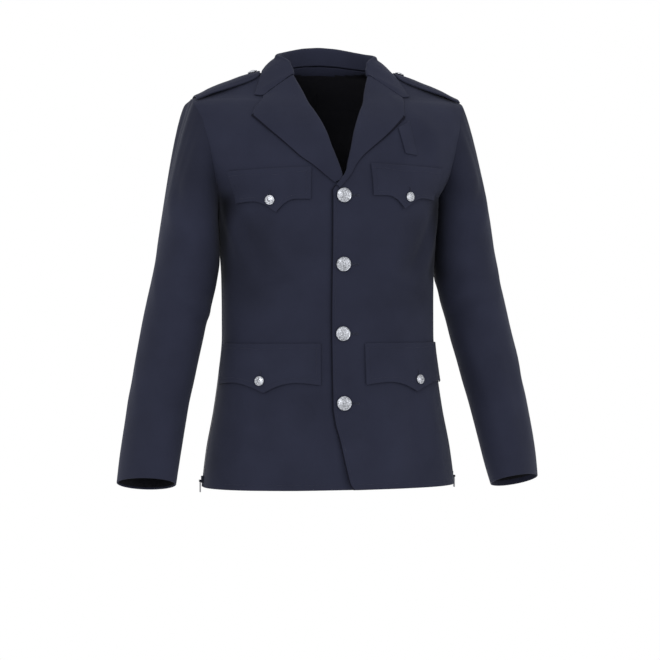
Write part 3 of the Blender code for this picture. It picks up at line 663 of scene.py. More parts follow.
# Soft ridges and troughs of the body's cloth: from and to as angle and z, width and height.
CREASE_DEPTH = 2.0
ANGLE_SCALE = 2.5  # millimetres of the body's cloth for a degree
FRONT_CREASES = (
    (76, -214, 58, -325, 12, 1.9),
    (67, -226, 47, -335, 11, -1.7),
    (57, -240, 33, -330, 10, 0.9),
    (30, -322, 62, -352, 8, 0.8),
    (28, -336, 66, -370, 8, -0.8),
    (60, -505, 62, -655, 15, 1.8),
    (46, -515, 46, -652, 13, -1.3),
    (30, -512, 31, -650, 14, 0.8),
    (60, -70, 62, -150, 11, 1.2),
    (49, -85, 55, -150, 10, -0.9),
    (17, -512, 14, -600, 9, -0.7),
    (15.2, -440, 15.8, -545, 3.0, -0.6),
    (-78, -210, -60, -318, 13, 2.1),
    (-68, -224, -46, -345, 12, -1.9),
    (-56, -236, -31, -342, 10, 1.1),
    (-33, -318, -64, -344, 8, 0.7),
    (-30, -332, -68, -364, 9, -0.9),
    (-62, -508, -60, -655, 14, 1.6),
    (-48, -512, -47, -655, 13, -1.5),
    (-33, -514, -34, -650, 13, 1.0),
    (-61, -72, -63, -155, 12, 1.3),
    (-50, -88, -56, -152, 10, -1.0),
    (-19, -512, -21, -620, 9, -0.8),
)
BACK_CREASES = (
    (106, -200, 128, -330, 13, 1.9),
    (116, -206, 140, -345, 12, -1.6),
    (150, -140, 152, -330, 14, 1.6),
    (163, -150, 165, -340, 12, -1.1),
    (254, -202, 231, -322, 13, 2.1),
    (243, -210, 219, -340, 12, -1.8),
    (210, -142, 208, -325, 14, 1.4),
    (197, -150, 194, -345, 12, -1.2),
    (130, -372, 170, -384, 10, 1.1),
    (128, -390, 172, -400, 9, -1.0),
    (192, -380, 230, -368, 10, 1.0),
    (190, -397, 232, -386, 9, -1.1),
    (132, -480, 128, -655, 16, 2.0),
    (150, -490, 149, -652, 15, -1.5),
    (228, -478, 233, -655, 16, 1.8),
    (211, -490, 210, -652, 15, -1.6),
    (180, -30, 180, -650, 1.6, -1.0),
)
# The same on a sleeve, across being the turn round it: 0 is outside, 90 front, 180 inside.
SLEEVE_CREASES = (
    (95, -330, 165, -352, 8, -1.3),
    (90, -350, 170, -376, 8, 1.5),
    (98, -372, 165, -396, 8, -1.4),
    (40, -210, 95, -262, 11, 1.2),
    (52, -196, 110, -250, 10, -1.2),
    (20, -300, 62, -372, 11, 0.9),
    (12, -420, 48, -520, 12, 0.8),
    (70, -420, 74, -600, 13, -0.9),
    (130, -420, 118, -560, 13, 0.8),
    (205, -330, 265, -352, 9, 1.2),
    (200, -352, 268, -374, 9, -1.3),
    (225, -220, 270, -290, 12, 1.2),
    (300, -250, 318, -420, 13, 0.8),
    (236, -210, 242, -655, 1.3, -0.7),
)


def creases(rows, across, z, scale):
    """Height of a table's creases at places of a surface, scale being millimetres for a degree."""
    total = np.zeros(np.broadcast(across, z).shape)
    for start, start_z, end, end_z, width, rise in rows:
        run, run_z = (end - start) * scale, end_z - start_z
        x, height = (across - start) * scale, z - start_z
        share = np.clip((x * run + height * run_z) / (run**2 + run_z**2), 0, 1)
        away = np.hypot(x - share * run, height - share * run_z) / width
        total += rise * np.exp(-(away**2)) * (0.45 + 0.55 * np.sin(math.pi * share))
    return total


def front_crease(side, angle, z):
    """Creases of a front, flat round the buttons and at the side seam."""
    near_middle = ease((np.abs(angle) - 8) / 10)
    near_side = 1 - ease((np.abs(angle) - 80) / 8)
    rise = creases(FRONT_CREASES, side * angle, z, ANGLE_SCALE)
    return CREASE_DEPTH * rise * near_middle * near_side


def back_crease(angle, z):
    """Creases of the back, flat at the side seams."""
    away = np.minimum(angle, 360 - angle)
    return CREASE_DEPTH * creases(BACK_CREASES, angle, z, ANGLE_SCALE) * ease((away - 91) / 8)


def edged(length, count, edges=(1, 1)):
    """Shares of a length from 0 to 1, with close rows at its free ends to round them."""
    close = CLOSE / length
    reach = 2.5 * close[-1]
    inner = np.linspace(0, 1, count)
    inner = inner[(inner > reach * edges[0]) & (inner < 1 - reach * edges[1])]
    low = close if edges[0] else [0]
    high = 1 - close if edges[1] else [1]
    return np.unique(np.concatenate([low, inner, high]))


def edge_distance(grid, ring):
    """Distance of each point of a grid from its nearest free edge."""
    down = lengths(grid)
    away = np.minimum(down, down[-1:] - down)
    if not ring:
        over = lengths(grid, 1)
        away = np.minimum(away, np.minimum(over, over[:, -1:] - over))
    return away


def add_object(name, data):
    """A new object in the scene with that data."""
    obj = bpy.data.objects.new(name, data)
    bpy.context.scene.collection.objects.link(obj)
    return obj


def add_mesh(name, points, faces, materials, indices=None):
    """A smooth mesh on the coat's body, with each face's place in the list of materials."""
    mesh = bpy.data.meshes.new(name)
    mesh.from_pydata([tuple(p) for p in np.asarray(points) * MM], [], faces)
    shape = bmesh.new()
    shape.from_mesh(mesh)
    bmesh.ops.recalc_face_normals(shape, faces=shape.faces)
    shape.to_mesh(mesh)
    shape.free()
    for material in materials:
        mesh.materials.append(material)
    if indices is not None:
        mesh.polygons.foreach_set("material_index", indices)
    mesh.shade_smooth()
    obj = add_object(name, mesh)
    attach(obj, "coat")
    return obj


def quads(rows, across, ring):
    """Faces between the neighbouring rows of a grid of points."""
    faces = []
    for i in range(rows - 1):
        for j in range(across if ring else across - 1):
            k = (j + 1) % across
            above = (i + 1) * across
            faces.append((i * across + j, i * across + k, above + k, above + j))
    return faces


def cloth(name, middle, thick, ring=False, lined=None, rounded=1.0, dark=None, painted_shade=None):
    """A closed cloth wall about a grid of points, its free edges rounded.

    lined marks the inner faces that are lining, and dark the outer faces that take a painted
    shadow along an edge. The last argument gives how much painted shade each point's outside
    gets: in the fold between arm and body, at the waist and on the sleeve's head.
    """
    out = grid_normals(middle, ring)
    near = np.clip(edge_distance(middle, ring) / rounded, 0, 1)
    half = (thick / 2 * (0.25 + 0.75 * np.sqrt(1 - (1 - near) ** 2)))[..., None]
    rows, across = middle.shape[:2]
    below = rows * across
    faces = []
    indices = []
    for quad in quads(rows, across, ring):
        faces.append(quad)
        faces.append(tuple(below + q for q in reversed(quad)))
        i, j = divmod(quad[0], across)
        indices.append(2 if dark is not None and dark[i, j] else 0)
        indices.append(1 if lined is not None and lined[i, j] else 0)
    border = []
    for i in (0, rows - 1):
        for j in range(across if ring else across - 1):
            ends = (i * across + j, i * across + (j + 1) % across)
            border.append(ends if i else ends[::-1])
    for i in range(0 if ring else rows - 1):
        for j in (0, across - 1):
            ends = (i * across + j, (i + 1) * across + j)
            border.append(ends[::-1] if j else ends)
    faces += [(a, b, below + b, below + a) for a, b in border]
    indices += [0] * (len(faces) - len(indices))
    points = np.concatenate([middle + out * half, middle - out * half]).reshape(-1, 3)
    obj = add_mesh(name, points, faces, (wool, lining, wool_edge), indices)
    if painted_shade is not None:
        # The painted shade goes on the outer points only.
        values = np.concatenate([painted_shade, 0 * painted_shade]).reshape(-1).astype(np.float32)
        obj.data.attributes.new("painted_shade", "FLOAT", "POINT").data.foreach_set("value", values)
    return obj


def fold_shade(away, z):
    """Painted shade of a place in the fold between arm and body: away is 0 at the fold's bottom."""
    return np.exp(-(away**2)) * ease((FOLD_TOP_Z - z) / 26) * ease((z - FOLD_LOW_Z) / 34)


def on_side(grid, side):
    """A left piece's grid as it is, or mirrored with its columns turned round to face out."""
    return flipped(grid[:, ::side], side)


def resample(grid, axis, at):
    """A grid read along one axis at places counted in its rows, on a smooth curve through them."""
    grid = np.moveaxis(grid, axis, 0)
    tangent = np.gradient(grid, axis=0)
    i = np.clip(np.floor(at).astype(int), 0, len(grid) - 2)
    t = (np.asarray(at) - i).reshape(-1, *([1] * (grid.ndim - 1)))
    return np.moveaxis(curve(t, grid[i], tangent[i], grid[i + 1], tangent[i + 1]), 0, axis)


def refine(grid, rows, across):
    """A coarse grid of a piece as a dense smooth one with close rows at its free edges."""
    long = lengths(grid)[-1].mean()
    wide = lengths(grid, 1)[:, -1].mean()
    grid = resample(grid, 0, edged(long, rows) * (grid.shape[0] - 1))
    return resample(grid, 1, edged(wide, across) * (grid.shape[1] - 1))


def spread(start, end, z, shares):
    """Angles at shares of the way along the cloth between two angles at a height."""
    fine = np.linspace(start, end, 120)
    along = lengths(body_point(fine, z))
    return np.interp(shares * along[-1], along, fine)


def panel_heights():
    """Rows of a front or the back from the hem up, close at the ends and round the armhole."""
    hem = HEM_Z + np.array([*CLOSE, 4])
    body = np.linspace(HEM_Z + 9, UNDERARM_Z - 3, 92)
    arm = ARMHOLE_Z - ARMHOLE_HALF_HEIGHT * np.cos(np.radians(np.linspace(0, 180, 41)))
    shoulder = np.linspace(SHOULDER_TIP_Z + 1.5, SHOULDER_Z - CLOSE[-1], 26)
    return np.concatenate([hem, body, arm, shoulder, SHOULDER_Z - CLOSE[-2::-1]])


def edge_x(edge, z):
    """How far a front's inner edge lies past the centre line at a height."""
    return np.interp(z, edge["z"][::-1], edge["x"][::-1])


def front_shade(side, angles, z):
    """Painted shade on places of a front: in the fold by the sleeve, and the waist's soft shade."""
    waist = WAIST_SHADE * np.exp(-(((angles - 58) / 20) ** 2))
    waist = waist * ease((-215 - z) / 40) * ease((z + 400) / 40)
    # The painted shade of the fold beside the right sleeve runs backward as it goes down.
    bottom = 73 if side > 0 else 77 + 9 * ease((-212 - z) / 100)
    fold = fold_shade((angles - bottom) / 9, z)
    return np.maximum(np.maximum(fold, fold_shade((angles - 90) / 14, z)), waist)


def make_fronts():
    """Both fronts as dense cloth, each replacing its solid."""
    shares = edged(200, 54)
    for (end, side), edge in zip(SIDES, (LEFT_EDGE, RIGHT_EDGE)):
        grid = []
        painted_shade = []
        for z in panel_heights():
            if z > NECK["z"][0]:
                start = from_table(NECK, "z", "angle", z)
            else:
                start = angle_at_x(edge_x(edge, z), z)
            angles = spread(start, outer_angle(z, ARMHOLE_FRONT, -1), z, shares)
            x = body_point(angles, z)[:, 0]
            rise = front_lift(side, x, z) + front_crease(side, angles, z) - CLOTH / 2
            grid.append(lifted(angles, z, rise))
            painted_shade.append(front_shade(side, angles, z))
        grid = on_side(np.array(grid), side)
        painted_shade = np.array(painted_shade)[:, ::side]
        z = grid[..., 2]
        lined = (np.abs(grid[..., 0]) > FACING) & (z > HEM_Z + LINING_FROM) & (z < -20)
        # Painted shadow: the left front's outer faces along its edge below the break take the
        # darker wool.
        dark = np.zeros(lined.shape, bool)
        if side > 0:
            dark[:, :EDGE_COLUMNS_DARK] = z[:, :1] < BREAK_Z
        name = f"front_{end}"
        piece = cloth(f"{name}_cloth", grid, CLOTH, lined=lined, dark=dark, painted_shade=painted_shade)
        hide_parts(name)


def make_back():
    """The back as dense cloth, with its middle seam."""
    grid = []
    painted_shade = []
    wide = 245
    seam = 1 - np.array([0.7, 1.4, 2.3, 3.5]) / wide
    half = np.sort(np.concatenate([edged(wide, 46, (1, 0)), seam]))
    for z in panel_heights():
        angles = spread(outer_angle(z, ARMHOLE_BACK, 1), 180, z, half)
        angles = np.concatenate([angles, 360 - angles[-2::-1]])
        away = np.abs(angles - 180)
        rise = np.maximum(from_table(NECK, "angle", "z", 180 - away) - 3, 0)
        level = z + rise * ease((z - SHOULDER_TIP_Z) / (SHOULDER_Z - SHOULDER_TIP_Z))
        grid.append(lifted(angles, level, back_crease(angles, level) - CLOTH / 2))
        # Painted shade in the fold beside each arm.
        painted_shade.append(fold_shade((90 - away) / 14, level))
    grid = np.array(grid)
    lined = (grid[..., 2] > HEM_Z + LINING_FROM) & (grid[..., 2] < 0)
    piece = cloth("back_cloth", grid, CLOTH, lined=lined, painted_shade=np.array(painted_shade))
    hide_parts("back")


def sleeve_grid():
    """Middle of the left sleeve's cloth before its creases, and the turns of its columns."""
    turn = np.sort(np.concatenate([np.arange(96) * 3.75, np.arange(234.4, 244.5, 0.9)]))
    top, low = SLEEVE["z"][[0, -1]]
    start, go = armhole_ring(turn)
    first = sleeve_ring(top, turn)
    onward = unit(sleeve_ring(top - 6, turn) - first)
    reach = np.linalg.norm(first - start, axis=-1, keepdims=True)
    shares = np.concatenate([np.array([*CLOSE, 3]) / 200, np.linspace(0.03, 1, 34)[:-1]])
    rows = [curve(t, start, 0.57 * reach * go, first, 0.72 * reach * onward) for t in shares]
    heights = np.concatenate([np.linspace(top, low + 3, 74), low + CLOSE[::-1]])
    rows += [sleeve_ring(z, turn) for z in heights]
    return np.array(rows), turn


def make_sleeves():
    """Both sleeves as dense cloth, creased differently."""
    base, turn = sleeve_grid()
    out = grid_normals(base, True)
    level = base[..., 2].mean(axis=1, keepdims=True)
    for (end, side), shift, depth in zip(SIDES, (0.0, 11.0), (1.9, 2.1)):
        soft = creases(SLEEVE_CREASES[:-1], turn + shift * 0.6, level + shift, 1.0)
        seam = creases(SLEEVE_CREASES[-1:], turn, level, 1.0)
        rise = soft * ease((-level - 165) / 40) * depth + seam * ease((-level - 205) / 20)
        shape = base + out * rise[..., None]
        if side < 0:
            shape[..., 2] += RIGHT_CUFF_RISE * cuff_share(shape[..., 2])
        # Painted shade on the sleeve's head, and in the fold on its inner side.
        head = HEAD_SHADE * ease((shape[..., 2] + 250) / 80)
        painted_shade = np.maximum(fold_shade((turn - 180) / 38, shape[..., 2]), head)[:, ::side]
        grid = on_side(shape, side)
        away = HEM_Z - grid[..., 2] + CUFF_TILT_X * (np.abs(grid[..., 0]) - CUFF_MIDDLE[0])
        lined = away + CUFF_TILT_Y * (grid[..., 1] - CUFF_MIDDLE[1]) < -CUFF_HEM
        name = f"sleeve_{end}"
        piece = cloth(f"{name}_cloth", grid, CLOTH, ring=True, lined=lined, painted_shade=painted_shade)
        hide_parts(name)


def make_lapels():
    """Both lapels, smoothed from the rows of their table."""
    for end, side in SIDES:
        rows = (LAPEL_START[side], *LAPEL[1:])
        rows = np.array([lapel_row(row, side) for row in rows])[:, ::side]
        # Two stretches, so that the lapel's corner between them stays sharp.
        rows = resample(rows, 1, edged(70, 44) * (rows.shape[1] - 1))
        upper = len(rows) - 1 - LAPEL_CORNER
        long = resample(rows[: LAPEL_CORNER + 1], 0, edged(150, 64, (1, 0)) * LAPEL_CORNER)
        short = resample(rows[LAPEL_CORNER:], 0, edged(60, 26, (0, 1)) * upper)
        grid = np.concatenate([long, short[1:]])
        # Painted shadow along each lapel's outer edge, in the darker edge wool.
        dark = np.zeros(grid.shape[:2], bool)
        if side > 0:
            dark[: len(long), -1 - EDGE_COLUMNS_DARK :] = True
        else:
            dark[: len(long), : EDGE_COLUMNS_DARK - 1] = True
        piece = cloth(f"lapel_{end}_cloth", grid, COLLAR_CLOTH, dark=dark)
        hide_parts(f"lapel_{end}")


def make_collar():
    """The collar, smoothed from its rows."""
    left = collar_half()
    grid = refine(np.concatenate([left, flipped(left[-2::-1], -1)]), 150, 40)
    piece = cloth("collar_cloth", grid, COLLAR_CLOTH)
    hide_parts("collar")


def flap_length(flap, share):
    """Length of a flap at a share of its width: two hollow arcs that meet in a point."""
    arc, middle = flap["arc"], flap["point_share"]
    near = np.where(share < middle, (middle - share) / middle, (share - middle) / (1 - middle))
    to_point = np.clip(1 - near / 0.55, 0, 1) ** 1.9
    to_corner = np.clip((near - 0.55) / 0.45, 0, 1) ** 1.6
    return arc + (flap["point"] - arc) * to_point + (flap["corner"] - arc) * to_corner


def flap_down(flap, share, z):
    """Share of a flap's length at a height."""
    return (flap["top_z"] - flap["slant"] * share - z) / flap_length(flap, share)


def flap_surface(flap, share, down, lift):
    """Points of a flap: share of its width, share of its length, height above its middle."""
    z = flap["top_z"] - flap["slant"] * share - flap_length(flap, share) * down
    swell = FLAP_SWELL * np.sin(math.pi * np.clip(share, 0, 1)) * down**2
    angle = np.interp(share, np.linspace(0, 1, 13), flap_angles(flap))
    lift = FLAP_GAP + FLAP_STAND * down**2 + FLAP_CLOTH / 2 + swell + lift
    return on_front(flap["side"], body_point(angle, z)[..., 0], z, lift)


def make_flaps():
    """Pocket flaps with their rows of stitches and worked buttonholes."""
    for flap in FLAPS:
        share, down = np.meshgrid(edged(flap["width"], 70), edged(flap["corner"], 22))
        grid = flap_surface(flap, share, down, 0)[:, :: flap["side"]]
        piece = cloth(f"{flap['name']}_cloth", grid, FLAP_CLOTH)
        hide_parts(flap["name"])
        top = FLAP_CLOTH / 2 + STITCH_LIFT
        long = np.linspace(0.01, 0.99, 120)
        row = FLAP_STITCH / flap["corner"]
        side_in = FLAP_STITCH / flap["width"]
        low = row + long * (FLAP_STITCH_END - row)
        paths = [
            flap_surface(flap, long, row, top),
            flap_surface(flap, side_in, low, top),
            flap_surface(flap, 1 - side_in, low, top),
            flap_surface(flap, side_in + long * (1 - 2 * side_in), FLAP_STITCH_LOW, top),
        ]
        stitches(f"{flap['name']}_stitches", paths)
        hole = np.linspace(0, 1, 40)
        share = flap["button_share"]
        centre = flap_down(flap, share, flap["button_z"])
        upper = flap_down(flap, share, flap["button_z"] + POCKET_HOLE)
        path = flap_surface(flap, share, upper + (centre - upper) * hole, top)
        worked_hole(f"{flap['name']}_hole", path, 1.5)


def make_badge_tab():
    """The flat tab below the left lapel, its four corners set by straight lines."""
    share, down = np.meshgrid(edged(21, 14), edged(40, 20))
    top_z = -97 + 12 * share
    z = top_z * (1 - down) - (137.5 + 2.5 * share) * down
    x = 94.5 + 20.5 * share + 8.5 * down
    grid = on_front(1, x, z, 1.9 - 0.8 * share)
    piece = cloth("badge_tab_cloth", grid, TAB_CLOTH)
    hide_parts("badge_tab")


def upward_normals(grid):
    """Unit normals of a grid of points, all on its upper side."""
    out = grid_normals(grid)
    return out * np.sign(out[..., 2:3])


def strap_grid():
    """Middle of the left shoulder strap's cloth."""
    share = np.linspace(-1, 1, 9)
    plan_x = np.repeat(STRAP["x"][:, None], 9, axis=1)
    plan_y = STRAP["half_width"][:, None] * share[None, :]
    ridge = shoulder_height(plan_x, plan_y)
    top = ridge.max(axis=1, keepdims=True)
    soft = ridge + 0.3 * (top - ridge) * (1 - np.abs(share[None, :]) ** 3)
    low = np.stack([plan_x, plan_y, soft + 0.6 + STRAP["rise"][:, None]], axis=-1)
    return low + upward_normals(low) * STRAP_CLOTH / 2


def make_straps():
    """Shoulder straps with a row of stitches round them."""
    coarse = strap_grid()
    grid = refine(coarse, 60, 26)
    top = coarse + upward_normals(coarse) * (STRAP_CLOTH / 2 + STRAP_STITCH_LIFT)
    top = resample(resample(top, 0, np.linspace(0.5, 8.9, 90)), 1, np.linspace(0, 8, 65))
    for end, side in SIDES:
        name = f"shoulder_strap_{end}"
        piece = cloth(f"{name}_cloth", on_side(grid, side), STRAP_CLOTH, rounded=1.4)
        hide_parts(name)
        rows = (top[:, 7], top[:, -8], top[4, 7:-7])
        stitches(f"{name}_stitches", [flipped(row, side) for row in rows])


def path_frame(path):
    """Direction along a path at its points, and the way out of the cloth under it."""
    along = unit(np.gradient(path, axis=0))
    out = path * np.array([1, 1, 0.0])
    # On the shoulders the cloth faces up.
    out[:, 2] = np.where(path[:, 2] > -50, 260, 0)
    out = unit(out)
    return along, unit(out - along * (out * along).sum(1)[:, None])


def threads(name, middles, ways, outs, length, radius):
    """Many short threads as one mesh: tapered, four-sided, each lying along its way."""
    side = np.cross(outs, ways)
    points = []
    for at, size in ((-0.5, 0.35), (-0.25, 1.0), (0.25, 1.0), (0.5, 0.35)):
        for s, o in ((1, 0), (0, 1), (-1, 0), (0, -1)):
            points.append(middles + ways * length * at + (side * s + outs * o) * radius * size)
    points = np.stack(points, axis=1).reshape(-1, 3)
    shell = quads(4, 4, True) + [(3, 2, 1, 0), (12, 13, 14, 15)]
    firsts = range(0, len(points), 16)
    faces = [tuple(first + v for v in face) for first in firsts for face in shell]
    add_mesh(name, points, faces, (thread,))


def along_path(path, pitch):
    """Points every pitch along a path."""
    length = lengths(path)
    count = max(2, int(length[-1] / pitch))
    at = (np.arange(count) + 0.5) * length[-1] / count
    return np.stack([np.interp(at, length, path[:, k]) for k in range(3)], axis=1)


def stitches(name, paths):
    """Rows of machine stitches along paths on the cloth."""
    middles = [along_path(path, STITCH_PITCH) for path in paths]
    ways, outs = (np.concatenate(part) for part in zip(*map(path_frame, middles)))
    threads(name, np.concatenate(middles), ways, outs, STITCH_LENGTH, STITCH_RADIUS)


def worked_hole(name, path, half_width):
    """A buttonhole worked with close stitches on both sides of its slit, and a bar at its end."""
    points = along_path(path, HOLE_PITCH)
    along, out = path_frame(points)
    side = np.cross(out, along)
    apart = side * half_width * 0.62
    bar = points[:1] + side[:1] * np.linspace(-1, 1, 5)[:, None] * half_width * 0.9
    middles = np.concatenate([points + apart, points - apart, bar])
    ways = np.concatenate([side, -side, np.repeat(along[:1], 5, axis=0)])
    outs = np.concatenate([out, out, np.repeat(out[:1], 5, axis=0)])
    threads(name, middles, ways, outs, half_width * 1.1, HOLE_RADIUS)


def make_front_sewing():
    """Buttonholes of the left front, and the rows of stitches along its edge and both hems."""
    share = np.linspace(0, 1, 60)
    for number, z in enumerate(FRONT_BUTTON_Z, 1):
        x = FRONT_HOLE[0] + (FRONT_HOLE[1] - FRONT_HOLE[0]) * share
        worked_hole(f"front_hole_{number}", on_front(1, x, z - 0.4 * share, 0.15)[::-1], 1.7)
    hem = HEM_Z + HEM_STITCH
    for end, side in SIDES:
        rows = [on_front(side, np.linspace(20, 178, 300), hem, STITCH_LIFT)]
        if side > 0:
            z = np.linspace(BREAK_Z - 14, HEM_Z + 9, 400)
            rows.append(on_front(side, edge_x(LEFT_EDGE, z) + EDGE_STITCH, z, STITCH_LIFT))
        stitches(f"front_{end}_stitches", rows)
    angle = np.linspace(94, 266, 400)
    stitches("back_stitches", [lifted(angle, hem, back_crease(angle, hem) + STITCH_LIFT)])


def button_height(r, turn):
    """Height of the large button's face at shares of its radius and turns round it."""
    rise = BUTTON_RIM + BUTTON_DOME * (1 - r**2)
    for radius, width, height, beads in BUTTON_RINGS:
        height = height * np.exp(-(((r - radius) / width) ** 2))
        rise = rise + height * (0.5 + 0.5 * np.cos(turn * beads))
    point = np.abs(((turn * STAR_POINTS / (2 * math.pi)) % 1) - 0.5) * 2
    reach = 0.2 + 0.3 * point**1.4
    return rise + 0.65 * np.clip((reach - r) / 0.12, 0, 1)


def make_button(name, place, out, size):
    """A domed metal button with a rim, a beaded ring and a plain star."""
    face = np.concatenate([np.linspace(0.02, 0.97, 40), [0.985, 1.0]])
    turn = np.linspace(0, 2 * math.pi, 100, endpoint=False)
    r, a = np.meshgrid(np.concatenate([face, BUTTON_BACK["radius"]]), turn, indexing="ij")
    rise = button_height(r, a)
    rise[len(face) - 2] -= 0.1
    rise[len(face) - 1] -= 0.5
    rise[len(face) :] = BUTTON_BACK["height"][:, None]
    grid = np.stack([r * np.cos(a), r * np.sin(a), rise], axis=-1)
    grid[..., :2] *= size / 2
    grid[..., 2] = (grid[..., 2] - 0.2) * size / BIG_BUTTON + 0.25
    rows, across = grid.shape[:2]
    faces = quads(rows, across, True)
    faces.append(tuple(range(across)))
    faces.append(tuple(reversed(range((rows - 1) * across, rows * across))))
    turned = Vector([float(v) for v in out]).to_track_quat("Z", "Y").to_matrix()
    points = grid.reshape(-1, 3) @ np.array(turned).T + place
    piece = add_mesh(f"{name}_relief", points, faces, (silver,))
    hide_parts(name)


def make_buttons():
    """Front, pocket and shoulder buttons."""
    for number, z in enumerate(FRONT_BUTTON_Z, 1):
        spot = on_front(1, 0, z, 0)
        make_button(f"front_button_{number}", spot, body_normal(0, z), BIG_BUTTON)
    for flap in FLAPS:
        share = flap["button_share"]
        down = flap_down(flap, share, flap["button_z"])
        spot, across, up = (
            flap_surface(flap, share + right, down - high, FLAP_CLOTH / 2)
            for right, high in ((0, 0), (0.02, 0), (0, 0.05))
        )
        out = unit(np.cross(across - spot, up - spot) * flap["side"])
        make_button(flap["name"].replace("flap", "button"), spot, out, SMALL_BUTTON)
    place, out = strap_top(STRAP_BUTTON_X)
    for end, side in SIDES:
        spot, away = flipped(place, side), flipped(out, side)
        make_button(f"strap_button_{end}", spot, away, SMALL_BUTTON)


def make_zip_teeth():
    """Teeth of both side zips, in two rows that mesh."""
    box = ((0, 1, 3, 2), (4, 6, 7, 5), (0, 4, 5, 1), (2, 3, 7, 6), (0, 2, 6, 4), (1, 5, 7, 3))
    for end, side in SIDES:
        points = []
        faces = []
        for number, z in enumerate(np.arange(HEM_Z + 7, ZIP_TOP_Z - 4, TOOTH_PITCH)):
            if abs(z - SLIDER_Z) < SLIDER_ROOM:
                continue
            middle = (float(body_point(90, z)[0]), TOOTH_SHIFT if number % 2 else -TOOTH_SHIFT, z)
            faces += [tuple(len(points) + v for v in face) for face in box]
            for way in np.ndindex(2, 2, 2):
                x, y, height = (m + (2 * w - 1) * h for m, w, h in zip(middle, way, TOOTH_HALF))
                points.append((side * x, y, height))
        add_mesh(f"zip_teeth_{end}", points, faces, (steel,))


def fill(made, values):
    """Fills in inputs and settings of a shader node by their names."""
    for key, value in values.items():
        if key in made.inputs:
            made.inputs[key].default_value = value
        else:
            setattr(made, key, value)


def principled(name, colour, rough, metal=0.0, sheen=0.0):
    """A node material, its shader and its own coordinates for textures."""
    material = bpy.data.materials.new(name)
    material.use_nodes = True
    shader = material.node_tree.nodes["Principled BSDF"]
    looks = {
        "Base Color": (*colour, 1),
        "Roughness": rough,
        "Metallic": metal,
        "Specular IOR Level": 0.5 if metal else 0.12,
        "Sheen Weight": sheen,
        "Sheen Roughness": 0.45,
        "Sheen Tint": (0.75, 0.8, 1, 1),
    }
    fill(shader, looks)
    return material, shader, node(material, "ShaderNodeTexCoord").outputs["Object"]


def node(material, kind, **values):
    """A shader node with some of its inputs and settings filled in."""
    made = material.node_tree.nodes.new(kind)
    fill(made, values)
    return made


def join(start, end):
    """Links an output socket to an input socket."""
    end.id_data.links.new(start, end)


def mixed(material, factor, first, second):
    """A colour between two others, which are colours or outputs of nodes, by a factor."""
    mix = node(material, "ShaderNodeMix", data_type="RGBA")
    join(factor, mix.inputs[0])
    for value, socket in ((first, mix.inputs[6]), (second, mix.inputs[7])):
        if isinstance(value, tuple):
            socket.default_value = (*value, 1)
        else:
            join(value, socket)
    return mix.outputs[2]


def stretched(material, value, low, high):
    """A value's range from low to high as 0 to 1."""
    made = node(material, "ShaderNodeMapRange", **{"From Min": low, "From Max": high})
    join(value, made.inputs["Value"])
    return made.outputs[0]


def woven(name, dark, light, rough, sheen, weave):
    """Twill cloth: fine diagonal ribs crossed by yarn, cloudy variation, painted shade, a bump."""
    material, shader, place = principled(name, light, rough, sheen=sheen)
    rib = node(material, "ShaderNodeTexWave", Scale=weave, Distortion=1.2, Detail=2.0)
    rib.bands_direction = "DIAGONAL"
    yarn = node(material, "ShaderNodeTexNoise", Scale=YARN_SCALE, Detail=3.0)
    cloud = node(material, "ShaderNodeTexNoise", Scale=CLOUD_SCALE, Detail=3.0)
    for texture in (rib, yarn, cloud):
        join(place, texture.inputs["Vector"])
    cloudy = node(material, "ShaderNodeMath", operation="MULTIPLY_ADD")
    cloudy.inputs[1].default_value = YARN_SHARE
    join(yarn.outputs[0], cloudy.inputs[0])
    join(cloud.outputs[0], cloudy.inputs[2])
    colour = mixed(material, stretched(material, cloudy.outputs[0], 0.45, 1.0), dark, light)
    # Painted shade: the colour darkens towards SHADE_COLOUR by each point's shade attribute.
    shade_paint_node = node(material, "ShaderNodeAttribute", attribute_name="painted_shade")
    colour = mixed(material, shade_paint_node.outputs["Fac"], colour, SHADE_COLOUR)
    join(colour, shader.inputs["Base Color"])
    height = node(material, "ShaderNodeMath", operation="ADD")
    join(rib.outputs[1], height.inputs[0])
    join(yarn.outputs[0], height.inputs[1])
    bump = node(material, "ShaderNodeBump", Strength=0.35, Distance=0.0002)
    join(height.outputs[0], bump.inputs["Height"])
    join(bump.outputs[0], shader.inputs["Normal"])
    return material


def metal_finish(name, dark, light, rough, grain):
    """Metal with tarnish in a fine mottle."""
    material, shader, place = principled(name, light, rough, metal=1.0)
    mottle = node(material, "ShaderNodeTexNoise", Scale=grain, Detail=4.0)
    join(place, mottle.inputs["Vector"])
    colour = mixed(material, stretched(material, mottle.outputs[0], 0.35, 0.65), dark, light)
    join(colour, shader.inputs["Base Color"])
    return material


def repaint(name, material):
    """Gives a CAD node that stays a material of the scene."""
    obj = bpy.data.objects[name]
    obj.data.materials.clear()
    obj.data.materials.append(material)


def make_stage():
    """A pale round floor well below the hem."""
    turn = np.radians(np.arange(0, 360, 5))
    points = [(FLOOR_RADIUS * math.cos(a), FLOOR_RADIUS * math.sin(a), FLOOR_Z) for a in turn]
    mesh = bpy.data.meshes.new("stage_floor")
    mesh.from_pydata(points, [], [tuple(range(len(points)))])
    mesh.materials.append(principled("pale_paper", (0.86, 0.86, 0.86), 0.9)[0])
    add_object("stage_floor", mesh)


def add_light(name, place, aim, size, power):
    """A rectangular area light turned towards a point."""
    data = bpy.data.lights.new(name, "AREA")
    data.shape = "RECTANGLE"
    data.size, data.size_y = size
    data.energy = power
    obj = add_object(name, data)
    obj.location = place
    obj.rotation_euler = (Vector(aim) - Vector(place)).to_track_quat("-Z", "Y").to_euler()


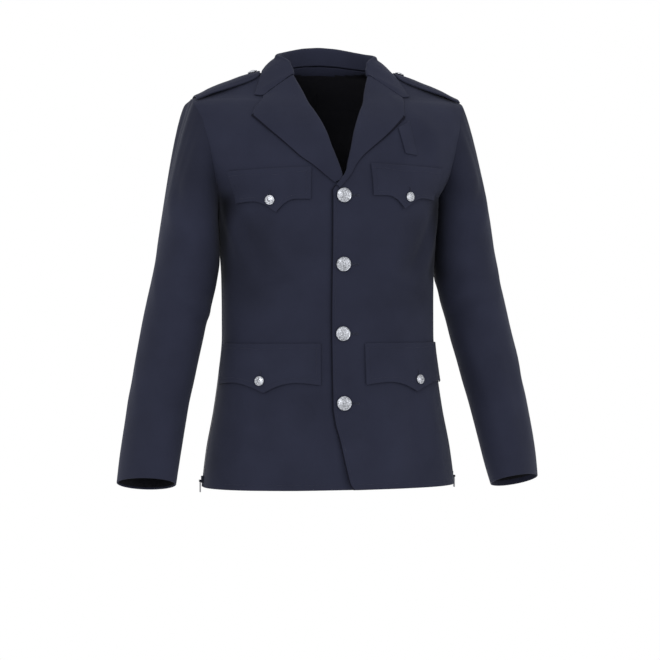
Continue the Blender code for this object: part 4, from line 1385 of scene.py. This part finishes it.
def make_light():
    """Soft studio light: a white world, a large key, a fill and a weak light from above."""
    world = bpy.data.worlds.new("studio")
    world.use_nodes = True
    background = world.node_tree.nodes["Background"]
    background.inputs["Color"].default_value = (1, 1, 1, 1)
    background.inputs["Strength"].default_value = WORLD_STRENGTH
    bpy.context.scene.world = world
    bpy.context.scene.view_settings.view_transform = "Standard"
    for light in LIGHTS:
        add_light(*light)


def make_camera():
    """The camera where the photograph was taken from."""
    data = bpy.data.cameras.new("camera")
    data.lens = CAMERA_LENS
    data.sensor_width = CAMERA_SENSOR
    data.shift_x, data.shift_y = CAMERA_SHIFT
    obj = add_object("camera", data)
    turn = math.radians(CAMERA_YAW)
    x, y = -CAMERA_DISTANCE * math.sin(turn), -CAMERA_DISTANCE * math.cos(turn)
    obj.location = (x, y, CAMERA_HEIGHT)
    obj.rotation_euler = (math.pi / 2, math.radians(CAMERA_ROLL), -turn)
    bpy.context.scene.camera = obj


wool = woven("wool_twill", (0.0117, 0.0132, 0.0255), (0.0165, 0.0186, 0.035), 0.85, 0.06, 420.0)
# Darker wool painted along edges as their shadow.
wool_edge = woven(
    "wool_painted_edge_shadow", (0.0026, 0.003, 0.0075), (0.004, 0.0045, 0.0105), 0.9, 0.0, 420.0
)
lining = woven("lining_satin", (0.004, 0.004, 0.006), (0.007, 0.007, 0.01), 0.5, 0.0, 900.0)
thread = woven("thread_navy", (0.011, 0.0125, 0.024), (0.021, 0.024, 0.043), 0.6, 0.15, 1500.0)
silver = metal_finish("silver_plate", (0.17, 0.175, 0.19), (0.6, 0.62, 0.67), 0.3, 560.0)
steel = metal_finish("dark_steel", (0.1, 0.1, 0.11), (0.3, 0.3, 0.32), 0.35, 500.0)
tape = woven("zip_tape", (0.008, 0.009, 0.015), (0.016, 0.018, 0.03), 0.8, 0.1, 700.0)

make_fronts()
make_back()
make_sleeves()
make_lapels()
make_collar()
make_flaps()
make_badge_tab()
make_straps()
make_front_sewing()
make_buttons()
make_zip_teeth()
for end, _ in SIDES:
    repaint(f"zip_{end}", tape)
    repaint(f"zip_pull_{end}", steel)
make_stage()
make_light()
make_camera()
